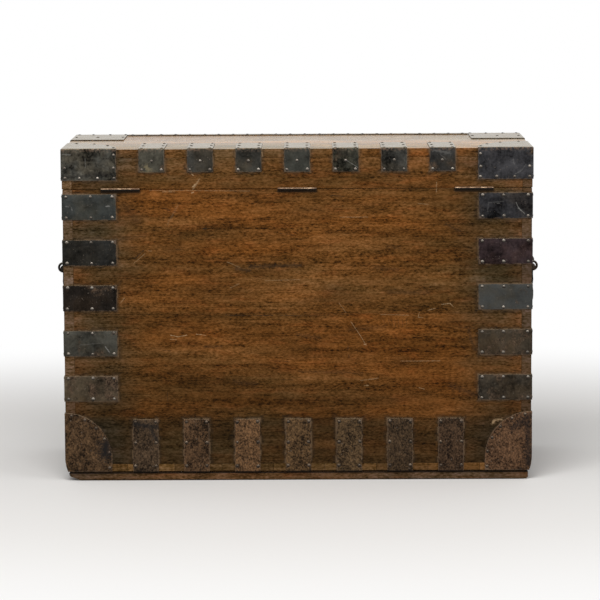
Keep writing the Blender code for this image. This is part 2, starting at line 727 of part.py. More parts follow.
def bail_points():
    """Half of the bail, from its end in the eye to the middle of the grip, as (y, z, thickness)."""
    arm = (EYE_SPACING - EYE_THICKNESS) / 2 - BAIL_CLEARANCE - BAIL_RADIUS
    stub = (EYE_SPACING + EYE_THICKNESS) / 2 + BAIL_STUB
    thick = BAIL_GRIP_RADIUS / BAIL_RADIUS
    points = [(stub, 0, 1), (arm + BAIL_RADIUS, 0, 1), (arm, -BAIL_RADIUS, 1)]
    for angle in evenly(0, math.pi / 2, BAIL_ROUND_STEPS):
        y = arm - BAIL_ROUND + BAIL_ROUND * math.cos(angle)
        z = -BAIL_DROP + BAIL_ROUND - BAIL_ROUND * math.sin(angle)
        points.append((y, z, 1 + (thick - 1) * math.sin(angle)))
    return points


def bails():
    """Iron rods bent to a U, hanging in the eyes."""
    half = bail_points()
    route = half + [(-y, z, thickness) for y, z, thickness in reversed(half)]
    for side, sign in SIDES:
        curve = bpy.data.curves.new(f"handle_bail_{side}", "CURVE")
        curve.dimensions = "3D"
        curve.bevel_depth = BAIL_RADIUS
        curve.bevel_resolution = 2
        curve.use_fill_caps = True
        spline = curve.splines.new("POLY")
        spline.points.add(len(route) - 1)
        for point, (y, z, thickness) in zip(spline.points, route):
            point.co = (0, y, z, 1)
            point.radius = thickness
        bail = place(f"handle_bail_{side}", curve, "dark_iron")
        bail.location = pivot_place(sign)


def lock():
    """Case with its bolt on the inside of the front board, and the striker on the lid rail."""
    back_y = FRONT_INSIDE - FIT
    case_top = RIM_Z - LOCK_BELOW_RIM
    low = (-LOCK_WIDTH / 2, back_y - LOCK_THICKNESS, case_top - LOCK_HEIGHT)
    case = box("lock_case", low, (LOCK_WIDTH / 2, back_y, case_top), "worn_steel")
    middle_y = back_y - LOCK_THICKNESS / 2
    tip_z = LID_Z - TONGUE_LENGTH
    eye_low = tip_z + TONGUE_EYE_LAND
    bolt_z = eye_low + FIT + BOLT_HEIGHT / 2
    slot_x = TONGUE_THICKNESS / 2 + TONGUE_PLAY
    slot_y = TONGUE_WIDTH / 2 + TONGUE_PLAY
    low = (-slot_x, middle_y - slot_y, tip_z - TONGUE_PLAY)
    cut_shape(case, "slot", box_mesh("lock_case_slot", low, (slot_x, middle_y + slot_y, RIM_Z + OVERRUN)))
    bolt_start = TONGUE_THICKNESS / 2 + BOLT_REST_GAP
    half_y = BOLT_THICKNESS / 2
    half_z = BOLT_HEIGHT / 2
    low = (bolt_start - BOLT_TRAVEL - BOLT_REST_GAP, middle_y - half_y - FIT, bolt_z - half_z - FIT)
    high = (bolt_start + BOLT_LENGTH + FIT, middle_y + half_y + FIT, bolt_z + half_z + FIT)
    cut_shape(case, "bolt_way", box_mesh("lock_case_bolt_way", low, high))
    key_z = RIM_Z - KEYHOLE_DROP
    low = (-KEYHOLE_WIDTH / 2, middle_y, key_z - KEYHOLE_HEIGHT / 2)
    high = (KEYHOLE_WIDTH / 2, back_y + OVERRUN, key_z + KEYHOLE_HEIGHT / 2)
    cut_shape(case, "keyhole", box_mesh("lock_case_keyhole", low, high))
    low = (bolt_start, middle_y - half_y, bolt_z - half_z)
    box("lock_bolt", low, (bolt_start + BOLT_LENGTH, middle_y + half_y, bolt_z + half_z), "brass")
    striker(middle_y, eye_low)


def striker(middle_y, eye_low):
    """Plate on the lid's front rail, with a tongue that drops into the lock."""
    rail_y = LID_FRONT - BOARD - FIT
    half = STRIKER_WIDTH / 2
    low = (-half, rail_y - STRIKER_PLATE, LID_Z)
    plate = box("lock_striker", low, (half, rail_y, LID_Z + STRIKER_HEIGHT), "worn_steel")
    thin = TONGUE_THICKNESS / 2
    tip_z = LID_Z - TONGUE_LENGTH
    low = (-thin, middle_y - TONGUE_WIDTH / 2, tip_z)
    high = (thin, rail_y - STRIKER_PLATE / 2, LID_Z + STRIKER_HEIGHT / 2)
    join_shape(plate, "tongue", box_mesh("lock_striker_tongue", low, high))
    trim_low = (-thin - OVERRUN, middle_y + TONGUE_WIDTH / 2, tip_z - OVERRUN)
    trim_high = (thin + OVERRUN, rail_y + OVERRUN, LID_Z - FIT)
    cut_shape(plate, "trim", box_mesh("lock_striker_trim", trim_low, trim_high))
    side = BOLT_THICKNESS / 2 + FIT + FIT
    low = (-thin - OVERRUN, middle_y - side, eye_low)
    high = (thin + OVERRUN, middle_y + side, eye_low + BOLT_HEIGHT + 4 * FIT)
    cut_shape(plate, "eye", box_mesh("lock_striker_eye", low, high))


def hang_on_axis(name, location, children):
    """An empty on a joint's axis that carries the pieces that turn or slide with it."""
    axis = bpy.data.objects.new(name, None)
    axis.location = location
    PARTS.objects.link(axis)
    back = Matrix.Translation(location).inverted()
    for child in children:
        child.parent = axis
        child.matrix_parent_inverse = back


def joint_empties():
    """Puts the lid's pieces and the lock bolt on their axes."""
    moving = [part for part in PARTS.objects if part.name.startswith("lid_")]
    moving += [part for part in PARTS.objects if part.name.endswith("_lid_leaf")]
    moving.append(PARTS.objects["lock_striker"])
    hang_on_axis("lid_axis", (0, AXIS_Y, AXIS_Z), moving)
    bolt = PARTS.objects["lock_bolt"]
    centre = sum((Vector(corner) for corner in bolt.bound_box), Vector()) / 8
    hang_on_axis("lock_bolt_axis", centre, [bolt])


carcass_boards()
runners()
lid_boards()
hinges()
end_straps()
base_straps()
base_corners()
lid_brackets()
lid_corners()
front_edging()
handle_plates()
bails()
lock()
joint_empties()
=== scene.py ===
"""The dress of an iron-bound oak trunk, seen from its hinged back.

Oak boards, hoop iron with its nails, butt hinges, drop handles and a chest lock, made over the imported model.
Metres, +Z up. The hinged back faces -Y and the lock front +Y.
"""
import math
from random import Random

import bmesh
import bpy
from mathutils import Matrix, Vector, noise


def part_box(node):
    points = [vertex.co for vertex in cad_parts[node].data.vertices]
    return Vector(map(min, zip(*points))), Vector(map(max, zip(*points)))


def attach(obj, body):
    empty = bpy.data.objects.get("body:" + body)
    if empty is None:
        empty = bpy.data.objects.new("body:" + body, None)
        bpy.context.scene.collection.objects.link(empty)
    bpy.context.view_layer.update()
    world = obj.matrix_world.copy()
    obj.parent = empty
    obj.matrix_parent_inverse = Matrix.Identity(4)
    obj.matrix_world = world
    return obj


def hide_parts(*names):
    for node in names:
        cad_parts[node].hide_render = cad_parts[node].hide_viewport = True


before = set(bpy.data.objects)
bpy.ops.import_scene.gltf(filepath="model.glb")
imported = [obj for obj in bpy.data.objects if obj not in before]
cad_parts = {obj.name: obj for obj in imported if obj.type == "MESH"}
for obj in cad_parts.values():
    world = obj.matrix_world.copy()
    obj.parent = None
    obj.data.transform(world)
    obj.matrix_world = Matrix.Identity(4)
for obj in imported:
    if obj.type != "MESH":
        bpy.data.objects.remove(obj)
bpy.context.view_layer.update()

# Boards
FIT = 0.0003
EASE = 0.00025
CORNER_ROUND = 0.0011
WORN_DEPTH = 0.0005
FOOT_WEAR = 0.0052
FOOT_WEAR_TOP = 0.049
FOOT_WEAR_FROM = 0.40
BOTTOM_BOARD_JOINTS = (-0.3494, -0.253, -0.1566, -0.0513, 0.0540, 0.1594, 0.2648, 0.3701)
PLANK_SHIFT = (7.13, 3.37, 5.91)
RUNNER_ROUND = 0.004
RUNNER_CHAMFER = 0.0016
# Each wear: how high it rises, how far it reaches from the runner's end, and how it curves
RUNNER_LEFT_WEAR = (0.0013, 0.13, 1)
RUNNER_LEFT_CHIP = (0.0085, 0.022, 1)
RUNNER_RIGHT_WEAR = (0.0022, 0.02, 2)
RUNNER_CUTS = (0.01, 0.024, 0.05, 0.09, 0.14, 0.20, 0.98, 0.985, 0.99)
KEYHOLE_WIDTH = 0.006
KEYHOLE_HEIGHT = 0.015
KEYHOLE_DROP = 0.028

# Hoop iron and nails
IRON = 0.0016
BEND = 0.0010
IRON_GRID = 0.011
IRON_WAVE = 0.00016
RIM_ROUND = 0.00035
NAIL_RADIUS = 0.0029
NAIL_HEIGHT = 0.0012
NAIL_INSET = 0.005
NAIL_SIDES = 10
NAIL_STRAY = 0.0006
NAIL_SKIRT = 1.1
NAIL_PROFILE = ((1.28, -0.25), (1.26, 0.10), (0.97, 0.14), (0.90, 0.42), (0.62, 0.82), (0.26, 1.0))
END_STRAP_NAIL_INSETS = (0.0095, 0.059, 0.1025)
BASE_STRAP_NAIL_SPACING = 0.042
BASE_STRAP_NAIL_DROPS = (0.0058, 0.0483, 0.0970)
BASE_CORNER_RADIUS = 0.0965
BASE_CORNER_FOOT = 0.0255
BASE_CORNER_NAILS = 5
BRACKET_LOW_NAIL_SPACING = 0.0405
BRACKET_MIDDLE_NAIL_DROP = 0.0255
BRACKET_TOP_NAIL_SPACING = 0.041
BRACKET_TOP_NAIL_INSETS = (0.006, 0.072, 0.1375)
LID_CORNER_WIDTH = 0.1125
LID_CORNER_DEPTH = 0.163
LID_CORNER_FACE_NAIL_INSETS = (0.0085, 0.038, 0.0745)
LID_CORNER_NAIL_DROPS = (0.0135, 0.0395)
LID_CORNER_SIDE_NAIL_SHARES = (0.06, 0.36, 0.66)
LID_CORNER_ARC_NAILS = 4
EDGING_NAIL_PITCH = 0.030

# Hinges
HINGES = (1, 2, 3)
HINGE_LEAF = 0.0018
HINGE_LEAF_WIDTH = 0.017
HINGE_STANDOFF = 0.0034
KNUCKLE_RADIUS = 0.0030
KNUCKLE_GAP = 0.0004
KNUCKLE_EASE = 0.0004
LEAF_EASE = 0.0003
PIN_HEAD = 0.0017
PIN_HEAD_PROUD = 0.0006
PIN_HEAD_EASE = 0.0005

# Handles
EYE_SPACING = 0.110
EYE_RADIUS = 0.0112
EYE_HOLE_RADIUS = 0.0063
EYE_THICKNESS = 0.008
EYE_BITE = 0.0006
EYE_FOOT_HEIGHT = 0.0036
EYE_FOOT_RADII = (0.0085, 0.0052)
PLATE_ROUND = 0.008
BAIL_RADIUS = 0.0038
BAIL_GRIP_RADIUS = 0.0046
BAIL_DROP = 0.072
BAIL_ROUND = 0.020
BAIL_STUB = 0.0045
BAIL_SLACK = 0.0012
BAIL_BEND = 0.0045
# The swollen end of the bail: how far in from its tip, and how thick
BAIL_HEAD = ((0.0, 1.00), (0.0006, 1.50), (0.0016, 1.80), (0.0028, 1.72), (0.0040, 0.98))

# Lock
LOCK_PIN_INSET = 0.006
KEY_PLATE_HALF = (0.013, 0.019)
KEY_PLATE_THICKNESS = 0.0012

# The photograph's camera
PICTURE_PIXELS = 600
FOCAL_PIXELS = 3086.9
CAMERA_PLACE = (0.02992, -6.43541, 1.1354)
CAMERA_PAN = 0.00405
CAMERA_DIP = 0.12211
CAMERA_ROLL = -0.00500

# The whole box of boards: carcass and lid
WOOD_LOW = Vector((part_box("end_left")[0].x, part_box("end_left")[0].y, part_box("bottom_left")[0].z))
WOOD_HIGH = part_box("end_right")[1]
LID_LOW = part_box("lid_rail_left")[0]
LID_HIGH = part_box("lid_top")[1]
BOXES = {"carcass": (WOOD_LOW, WOOD_HIGH), "lid": (LID_LOW, LID_HIGH)}
AXIS_Y = WOOD_LOW.y - HINGE_STANDOFF
AXIS_Z = (WOOD_HIGH.z + LID_LOW.z) / 2
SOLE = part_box("runner_back")[1].z
X, Y, Z = 0, 1, 2
MM = 0.001
CREASE = math.radians(38)

# The irons' outer faces, and the ways in which they face
PROUD = FIT + IRON
CARCASS_OUT = WOOD_HIGH + Vector((PROUD, PROUD, PROUD))
LID_OUT = LID_HIGH + Vector((PROUD, PROUD, PROUD))
SIDES = (("left", -1), ("right", 1))
FACES = (("back", -1), ("front", 1))
BACK, FRONT, UP, DOWN = (0, -1, 0), (0, 1, 0), (0, 0, 1), (0, 0, -1)

# How each iron looks: its colour, how cloudy it is, and its share of rust
NUMBERED_LOOKS = {
    "end_strap_left": (
        (0.040, 0.043, 0.040, 0.7, 0.02), (0.0165, 0.0165, 0.0155, 1.1, 0.02), (0.017, 0.0135, 0.011, 0.9, 0.1),
        (0.046, 0.044, 0.036, 1.0, 0.16), (0.070, 0.053, 0.034, 1.0, 0.32),
    ),
    "end_strap_right": (
        (0.025, 0.0245, 0.0262, 1.5, 0.02), (0.027, 0.0180, 0.0188, 1.4, 0.0), (0.050, 0.051, 0.048, 0.4, 0.0),
        (0.046, 0.036, 0.025, 0.7, 0.20), (0.033, 0.027, 0.020, 1.5, 0.15),
    ),
    "lid_bracket": (
        (0.055, 0.051, 0.039, 1.2, 0.12), (0.043, 0.041, 0.035, 0.8, 0.05), (0.038, 0.036, 0.030, 0.9, 0.05),
        (0.041, 0.041, 0.034, 0.8, 0.05), (0.036, 0.0355, 0.0275, 2.0, 0.05), (0.032, 0.031, 0.027, 1.7, 0.05),
        (0.031, 0.030, 0.028, 0.8, 0.04),
    ),
    "base_strap": (
        (0.053, 0.033, 0.0185, 1.3, 1.0), (0.063, 0.0345, 0.0170, 1.9, 1.0), (0.106, 0.056, 0.0255, 0.8, 1.0),
        (0.081, 0.046, 0.0205, 1.0, 1.0), (0.071, 0.043, 0.0205, 1.0, 1.0), (0.045, 0.0275, 0.0145, 1.2, 1.0),
        (0.050, 0.0285, 0.0155, 1.2, 1.0),
    ),
}
IRON_LOOKS = {
    "lid_corner_back_left": (0.049, 0.048, 0.041, 1.9, 0.06),
    "lid_corner_back_right": (0.040, 0.039, 0.0415, 1.15, 0.06),
    "base_corner_back_left": (0.060, 0.034, 0.0165, 1.8, 1.0),
    "base_corner_back_right": (0.082, 0.043, 0.0220, 1.2, 1.0),
}
for family, looks in NUMBERED_LOOKS.items():
    IRON_LOOKS.update({f"{family}_{number}": look for number, look in enumerate(looks, 1)})
PLAIN_IRON = (0.040, 0.040, 0.037, 0.9, 0.12)
RUSTY_IRON = (0.060, 0.036, 0.021, 1.0, 1.0)
DULL_IRON = (0.022, 0.019, 0.016, 0.8, 0.2)


def add_block(form, low, high):
    """A block between two corners."""
    low, high = Vector(low), Vector(high)
    made = bmesh.ops.create_cube(form, size=1)["verts"]
    bmesh.ops.scale(form, vec=high - low, verts=made)
    bmesh.ops.translate(form, vec=(low + high) / 2, verts=made)


def block(low, high):
    """A new form that holds one block."""
    form = bmesh.new()
    add_block(form, low, high)
    return form


def saw(form, place, facing, drop=False):
    """Cuts through the form at a place. drop takes away what lies ahead of the cut."""
    everything = form.verts[:] + form.edges[:] + form.faces[:]
    bmesh.ops.bisect_plane(
        form, geom=everything, dist=0.00001, plane_co=place, plane_no=facing, clear_outer=drop
    )


def saw_across(form, axis, *places):
    facing = Vector((0, 0, 0))
    facing[axis] = 1
    for place in places:
        saw(form, facing * place, facing)


def ease_edges(form, edges, width, segments=2):
    bmesh.ops.bevel(
        form, geom=edges, offset=width, segments=segments, profile=0.5, affect="EDGES", material=-1,
        clamp_overlap=True,
    )


def sharp(edge):
    return edge.calc_face_angle(0) > 1


def edges_of(verts):
    """The edges that meet at the vertices, each once."""
    return list(dict.fromkeys(edge for vert in verts for edge in vert.link_edges))


def verts_among(items):
    return [item for item in items if isinstance(item, bmesh.types.BMVert)]


def grow(form, faces, **settings):
    """What an extrusion of the faces makes."""
    return bmesh.ops.extrude_face_region(form, geom=faces, **settings)["geom"]


def set_value(form, name, verts, value):
    """Writes a value into one of the form's layers at the given vertices."""
    layer = form.verts.layers.float[name]
    for vert in verts:
        vert[layer] = value


def aimed(way, axis="Z", up="Y"):
    """The turn that points an axis that way."""
    return Vector(way).to_track_quat(axis, up).to_matrix().to_4x4()


def evenly(first, last, count):
    return [first + (last - first) * index / (count - 1) for index in range(count)]


def arc_middles(count):
    """The angles in the middle of each of so many equal parts of a quarter turn."""
    return [(index + 0.5) * math.pi / 2 / count for index in range(count)]


def apart(spacing):
    return -spacing / 2, spacing / 2


def new_object(name, data):
    made = bpy.data.objects.new(name, data)
    bpy.context.scene.collection.objects.link(made)
    return made


def new_mesh(name, form):
    """The form's mesh. The form is used up."""
    mesh = bpy.data.meshes.new(name)
    form.to_mesh(mesh)
    form.free()
    return mesh


def finish_piece(name, form, body, nodes, finishes):
    """Makes the form a piece that rides its body and stands for its nodes."""
    form.normal_update()
    mesh = new_mesh(name, form)
    mesh.shade_smooth()
    mesh.set_sharp_from_angle(angle=CREASE)
    for finish in finishes:
        mesh.materials.append(finish)
    piece = new_object(name, mesh)
    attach(piece, body)
    if nodes:
        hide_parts(*nodes)


# Materials: small tools first, then the shared effects, then the finishes


class Value:
    """What a node's socket gives. A sum written with it becomes a node in the same tree."""

    def __init__(self, socket):
        self.socket = socket

    def __add__(self, other):
        return reckon("ADD", self, other)

    def __sub__(self, other):
        return reckon("SUBTRACT", self, other)

    def __rsub__(self, other):
        return reckon("SUBTRACT", other, self)

    def __mul__(self, other):
        return reckon("MULTIPLY", self, other)

    def __truediv__(self, other):
        return reckon("DIVIDE", self, other)

    def __pow__(self, other):
        return reckon("POWER", self, other)

    def __abs__(self):
        return reckon("ABSOLUTE", self)


def feed(socket, value):
    """Links a Value to the socket, or sets a plain value. Colours are written without their alpha."""
    if isinstance(value, Value):
        socket.id_data.links.new(value.socket, socket)
    elif socket.type == "RGBA":
        socket.default_value = (*value, 1)
    else:
        socket.default_value = value


def add_node(tree, kind, feeds=(), **settings):
    made = tree.nodes.new(f"ShaderNode{kind}")
    for key, value in settings.items():
        setattr(made, key, value)
    for key, value in dict(feeds).items():
        feed(made.inputs[key], value)
    return made


def tree_of(values):
    return next(value.socket.id_data for value in values if isinstance(value, Value))


def derive(kind, feeds, output=0, **settings):
    """One output of a new node, in the tree of the Values that feed it."""
    return Value(add_node(tree_of(feeds.values()), kind, feeds, **settings).outputs[output])


def reckon(operation, *values):
    """A sum: on vectors where a value is a vector or a colour, and else on numbers."""
    vectors = any(isinstance(value, Value) and value.socket.type != "VALUE" for value in values)
    output = 1 if operation in ("LENGTH", "DOT_PRODUCT") else 0
    return derive("VectorMath" if vectors else "Math", dict(enumerate(values)), output, operation=operation)


def lowest(first, *others):
    for other in others:
        first = reckon("MINIMUM", first, other)
    return first


def highest(first, other):
    return reckon("MAXIMUM", first, other)


def clamp(value, most=1.0):
    return derive("Clamp", {"Value": value, "Max": most})


def scaled(vector, times):
    return derive("VectorMath", {0: vector, "Scale": times}, operation="SCALE")


def parts_of(vector):
    return [Value(output) for output in add_node(tree_of([vector]), "SeparateXYZ", {0: vector}).outputs]


def vector_of(**parts):
    return derive("CombineXYZ", parts)


def mix(share, first, second, way="MIX"):
    """From the first colour to the second as the share grows."""
    return derive("Mix", {0: share, 6: first, 7: second}, 2, data_type="RGBA", blend_type=way)


def tint(colour, factors, share=1.0):
    """The colour times the factors, as far as the share says."""
    return mix(share, colour, factors, "MULTIPLY")


def between(share, first, second):
    """From the first number to the second as the share grows."""
    return derive("Mix", {0: share, 2: first, 3: second}, data_type="FLOAT")


def slope(value, low, high, start=0.0, end=1.0, kind="LINEAR"):
    """A straight slope from start to end as the value goes from low to high."""
    feeds = {"Value": value, "From Min": low, "From Max": high, "To Min": start, "To Max": end}
    return derive("MapRange", feeds, interpolation_type=kind)


def step(value, low, high, start=0.0, end=1.0):
    """A soft step from start to end as the value goes from low to high."""
    return slope(value, low, high, start, end, "SMOOTHSTEP")


def clouds(place, waves, detail=3.0, rough=0.6):
    """Noise, with so many waves to the metre, along each axis or along all alike."""
    waves = waves if isinstance(waves, tuple) else (waves, waves, waves)
    feeds = {"Vector": reckon("MULTIPLY", place, waves), "Scale": 1.0, "Detail": detail, "Roughness": rough}
    return derive("TexNoise", feeds)


def new_effect(name, gives, vectors=("Position",), colours=(), numbers=()):
    """A shared effect. Returns it, the Values that it is given, and the sockets for what it gives."""
    group = bpy.data.node_groups.new(name, "ShaderNodeTree")
    for kind, labels in (("Vector", vectors), ("Color", colours), ("Float", numbers)):
        for label in labels:
            group.interface.new_socket(label, in_out="INPUT", socket_type=f"NodeSocket{kind}")
    for label in gives:
        kind = "Color" if label == "Color" else "Float"
        group.interface.new_socket(label, in_out="OUTPUT", socket_type=f"NodeSocket{kind}")
    given = [Value(socket) for socket in group.nodes.new("NodeGroupInput").outputs if socket.name]
    return group, given, group.nodes.new("NodeGroupOutput").inputs


def use_effect(group, feeds):
    """What a shared effect gives for these feeds, by name."""
    made = add_node(tree_of(feeds.values()), "Group", feeds, node_tree=group)
    return {output.name: Value(output) for output in made.outputs}


def make_oak_grain():
    """Open-pored oak, its grain along the position's X. Its tone and its hue wander slowly."""
    group, (place, light, dark, red, swing, contrast), result = new_effect(
        "oak_grain", ("Color", "Height", "Streak"), colours=("Light Wood", "Dark Wood", "Red Wood"),
        numbers=("Hue Swing", "Contrast"),
    )
    sway = clouds(place, (1.4, 6, 6), 2.0, 0.5) - 0.5
    ripple = clouds(place, (22, 44, 44), 2.0, 0.5) - 0.5
    bent = place + vector_of(X=-0.33, Y=sway * 0.02 + ripple * 0.0025)
    patches = slope(clouds(bent, (3.6, 12, 12), 6.0, 0.62), 0.29, 0.71)
    hue = slope(clouds(bent, (1.3, 8.0, 8.0), 6.0, 0.62), 0.36, 0.64)
    warm = step(clouds(bent, (16, 60, 60), 4.0), 0.50, 0.68)
    bands = step(clouds(bent, (1.6, 38, 38), 4.0), 0.34, 0.66)
    broad = step(clouds(bent, (22, 82, 82), 4.0), 0.34, 0.66)
    fine = slope(clouds(bent, (150, 330, 330), 2.0), 0.20, 0.80)
    lines = slope(clouds(bent, (6, 340, 340), 3.0, 0.65), 0.22, 0.78)
    flecks = step(clouds(bent, (105, 360, 360), 2.0, 0.5), 0.58, 0.70)
    wood = mix(warm * 0.4, mix(patches, dark, light), red)
    wood = tint(wood, mix(hue, (0.77, 0.95, 1.24), (1.25, 1.03, 0.81)), swing)
    depth = between(broad, -0.24, 0.22) + between(fine, -0.84, 0.84) + between(lines, -0.40, 0.40)
    depth = depth + between(bands, -0.20, 0.20) - flecks * 0.27
    depth = highest(depth * contrast + 1.0, 0.12)
    feed(result["Color"], wood * vector_of(X=depth, Y=depth ** 1.10, Z=depth ** 1.70))
    feed(result["Height"], fine * 0.4 - flecks * 0.6)
    feed(result["Streak"], broad)
    return group


def make_grime():
    """Dirt that gathers towards the edges of a face. A reach far beyond the face leaves that way clean."""
    group, (place, centre, reach, depth, raggedness), result = new_effect(
        "edge_grime", ("Mask",), ("Position", "Centre", "Reach"), numbers=("Depth", "Raggedness")
    )
    inside = lowest(*parts_of(reach - abs(place - centre)))
    inside = inside + (clouds(place, (7, 7, 11), 5.0) - 0.5) * raggedness
    feed(result["Mask"], step(inside, depth, depth * 0.4))
    return group


def make_worn_edge():
    """Bare metal along an iron's border, ragged as handling leaves it."""
    group, (place, border, width), result = new_effect("worn_edge", ("Mask",), numbers=("Border", "Width"))
    ragged = step(clouds(place, 140, 4.0, 0.65), 0.36, 0.62, 0.0, 2.2)
    feed(result["Mask"], step(border, width * ragged, 0.0))
    return group


def make_scratch():
    """A mark along a line from start to end. Where Ragged is high it thins and breaks."""
    group, (place, start, end, width, ragged), result = new_effect(
        "scratch", ("Mask",), ("Position", "Start", "End"), numbers=("Width", "Ragged")
    )
    along, reach = end - start, place - start
    share = reckon("DOT_PRODUCT", reach, along) / reckon("DOT_PRODUCT", along, along)
    gap = reckon("LENGTH", reach - scaled(along, clamp(share))) * ragged
    feed(result["Mask"], step(gap, width, 0.0))
    return group


def make_rust():
    """Rust in blooms over old iron: its own tone, speckled with crust and pale scale."""
    group, (place, tone, share, cloud), result = new_effect(
        "rust_bloom", ("Mask", "Color", "Pits"), colours=("Tone",), numbers=("Share", "Clouds")
    )
    line = 0.80 - share * 0.66
    feed(result["Mask"], step(clouds(place, 22, 5.0, 0.62), line - 0.16, line))
    mottle = slope(clouds(place, (350, 350, 300), 2.0), 0.22, 0.80)
    patch = slope(clouds(place, (40, 40, 34), 5.0, 0.68), 0.22, 0.78, -0.70, 0.70)
    depth = slope(mottle ** 1.35, 0.0, 1.0, -0.02, 2.60) + patch * cloud
    feed(result["Color"], scaled(tone, highest(depth, 0.15)))
    feed(result["Pits"], mottle)
    return group


def make_strap_row():
    """Distance, in the wood's face, to the nearest of a row of equal irons whose free ends lie on one line."""
    group, (along, beyond, first, pitch, last, half), result = new_effect(
        "strap_row", ("Gap",), (), numbers=("Along", "Beyond", "First", "Pitch", "Last", "Half Width")
    )
    count = (along - first) / pitch
    aside = abs(count - clamp(reckon("ROUND", count), last)) * pitch - half
    feed(result["Gap"], highest(aside, beyond))
    return group


OAK_GRAIN = make_oak_grain()
EDGE_GRIME = make_grime()
WORN_EDGE = make_worn_edge()
SCRATCH = make_scratch()
RUST_BLOOM = make_rust()
STRAP_ROW = make_strap_row()
# Black of the painted shadow along the bearers and along the floor.
PAINTED_SHADOW_BLACK = (0.008, 0.006, 0.005)


def new_finish(name, **settings):
    """A material. Returns it, the inputs of its Principled shader, and the object's own place."""
    made = bpy.data.materials.new(name)
    made.use_nodes = True
    shader = made.node_tree.nodes["Principled BSDF"].inputs
    for key, value in settings.items():
        shader[key.replace("_", " ")].default_value = value
    return made, shader, Value(add_node(made.node_tree, "TexCoord").outputs["Object"])


def read_mark(place, name, output="Fac"):
    """What the mesh carries at each vertex under this name."""
    return Value(add_node(tree_of([place]), "Attribute", attribute_name=name).outputs[output])


def give_bump(shader, height, depth, strength):
    feed(shader["Normal"], derive("Bump", {"Height": height, "Distance": depth, "Strength": strength}))


def plank_place(place, turn=None):
    """The board's own place, shifted by its plank number and turned so that its grain runs along X."""
    moved = place + scaled(PLANK_SHIFT, read_mark(place, "plank"))
    return derive("Mapping", {"Vector": moved, "Rotation": turn}) if turn else moved


# Marks on the back: where each starts along X and Z, where it ends, its width in mm, and its strength
PALE_MARKS = (
    (-213, 591, -210, 592, 2.6, 0.7), (-272, 593, -248, 593, 1.3, 0.5), (-299, 596, -96, 594, 1.3, 0.34),
    (-205, 609, -211, 603, 2.4, 0.8), (-198, 618, -211, 597, 3.4, 0.4), (-242, 565, -263, 528, 4.5, 0.11),
    (-333, 447, -310, 467, 1.4, 0.35), (-302, 473, -296, 473, 1.8, 0.35), (-143, 450, -117, 438, 1.7, 0.33),
    (-136, 397, -119, 405, 2.4, 0.21), (-66, 411, 5, 413, 1.4, 0.3), (282, 610, 282, 590, 1.4, 0.45),
    (87, 540, 143, 540, 1.6, 0.3), (245, 567, 265, 565, 1.6, 0.3), (-259, 300, -244, 297, 1.3, 0.85),
    (-244, 297, -226, 300, 1.3, 0.8), (-259, 292, -247, 291, 1.6, 0.5), (-206, 302, -196, 301, 1.4, 0.85),
    (-196, 301, -187, 299, 1.2, 0.7), (-360, 367, -352, 377, 1.8, 0.36), (108, 326, 129, 295, 1.3, 0.55),
    (129, 295, 139, 277, 1.3, 0.5), (135, 279, 139, 280, 2.4, 0.6), (84, 365, 98, 345, 1.4, 0.3),
    (247, 344, 245, 336, 1.3, 0.5), (245, 335, 255, 334, 1.4, 0.5), (265, 349, 280, 353, 1.4, 0.5),
    (292, 361, 310, 363, 1.4, 0.65), (310, 363, 316, 356, 1.4, 0.6), (208, 245, 290, 245, 1.3, 0.42),
    (127, 205, 163, 210, 1.8, 0.35), (135, 195, 143, 195, 1.8, 0.5), (247, 190, 257, 187, 1.5, 0.6),
    (168, 341, 225, 339, 1.5, 0.3), (-213, 629, -210, 626, 1.8, 0.8), (-71, 672, -69, 664, 2, 0.5),
    (397, 117, 402, 122, 6, 0.65), (402, 122, 416, 124, 4, 0.55),
)
# The long thin dark mark from X 46 to 265 at Z 597 to 598 is painted shadow along the lid's lower edge.
DARK_MARKS = (
    (-192, 517, -184, 518, 2.8, 1), (-331, 457, -312, 474, 2.4, 0.9), (-35, 507, -7, 504, 1.4, 0.5),
    (-247, 476, -237, 475, 1.5, 0.5), (-125, 436, -97, 432, 9, 0.65), (-97, 440, 5, 442, 10, 0.61),
    (68, 584, 93, 582, 3, 0.45), (-148, 341, -112, 340, 1.6, 0.9), (-112, 340, -81, 340, 1.2, 0.55),
    (-83, 340, -51, 340, 1.6, 0.9), (-40, 340, 9, 339, 1.5, 0.8), (9, 339, 96, 341, 1.2, 0.5),
    (96, 342, 367, 343, 1.1, 0.35), (-275, 269, -259, 268, 1.5, 0.6), (-267, 185, -266, 163, 1.2, 0.7),
    (-57, 247, -16, 245, 1.3, 0.45), (-35, 208, -10, 207, 1.3, 0.5), (102, 275, 102, 269, 2.4, 0.6),
    (104, 258, 104, 253, 2.4, 0.55), (327, 314, 361, 312, 1.4, 0.6), (184, 480, 208, 476, 8, 0.3),
    (158, 437, 204, 433, 8, 0.3), (184, 386, 265, 385, 12, 0.32), (106, 310, 178, 316, 9, 0.27),
    (0, 300, 41, 294, 9, 0.3), (4, 224, 131, 221, 7, 0.25), (-190, 276, -155, 276, 7, 0.32),
    (-127, 203, -90, 199, 12, 0.3), (302, 524, 330, 510, 9, 0.35), (311, 194, 368, 173, 14, 0.35),
    (347, 309, 359, 268, 8, 0.4), (-350, 567, -324, 533, 20, 0.25), (-361, 496, -310, 504, 12, 0.25),
    (-267, 559, -259, 555, 4, 0.45), (46, 597, 265, 598, 1.2, 0.6), (-229, 644, -217, 630, 3.2, 0.75),
    (-221, 628, -201, 633, 2, 0.6), (174, 330, 180, 318, 1.1, 0.5), (184, 331, 188, 318, 1.1, 0.55),
    (190, 332, 194, 314, 1.1, 0.6), (197, 331, 199, 314, 1.1, 0.6), (204, 331, 206, 314, 1.1, 0.6),
    (212, 330, 214, 316, 1.1, 0.6), (221, 330, 222, 311, 1.1, 0.5),
)
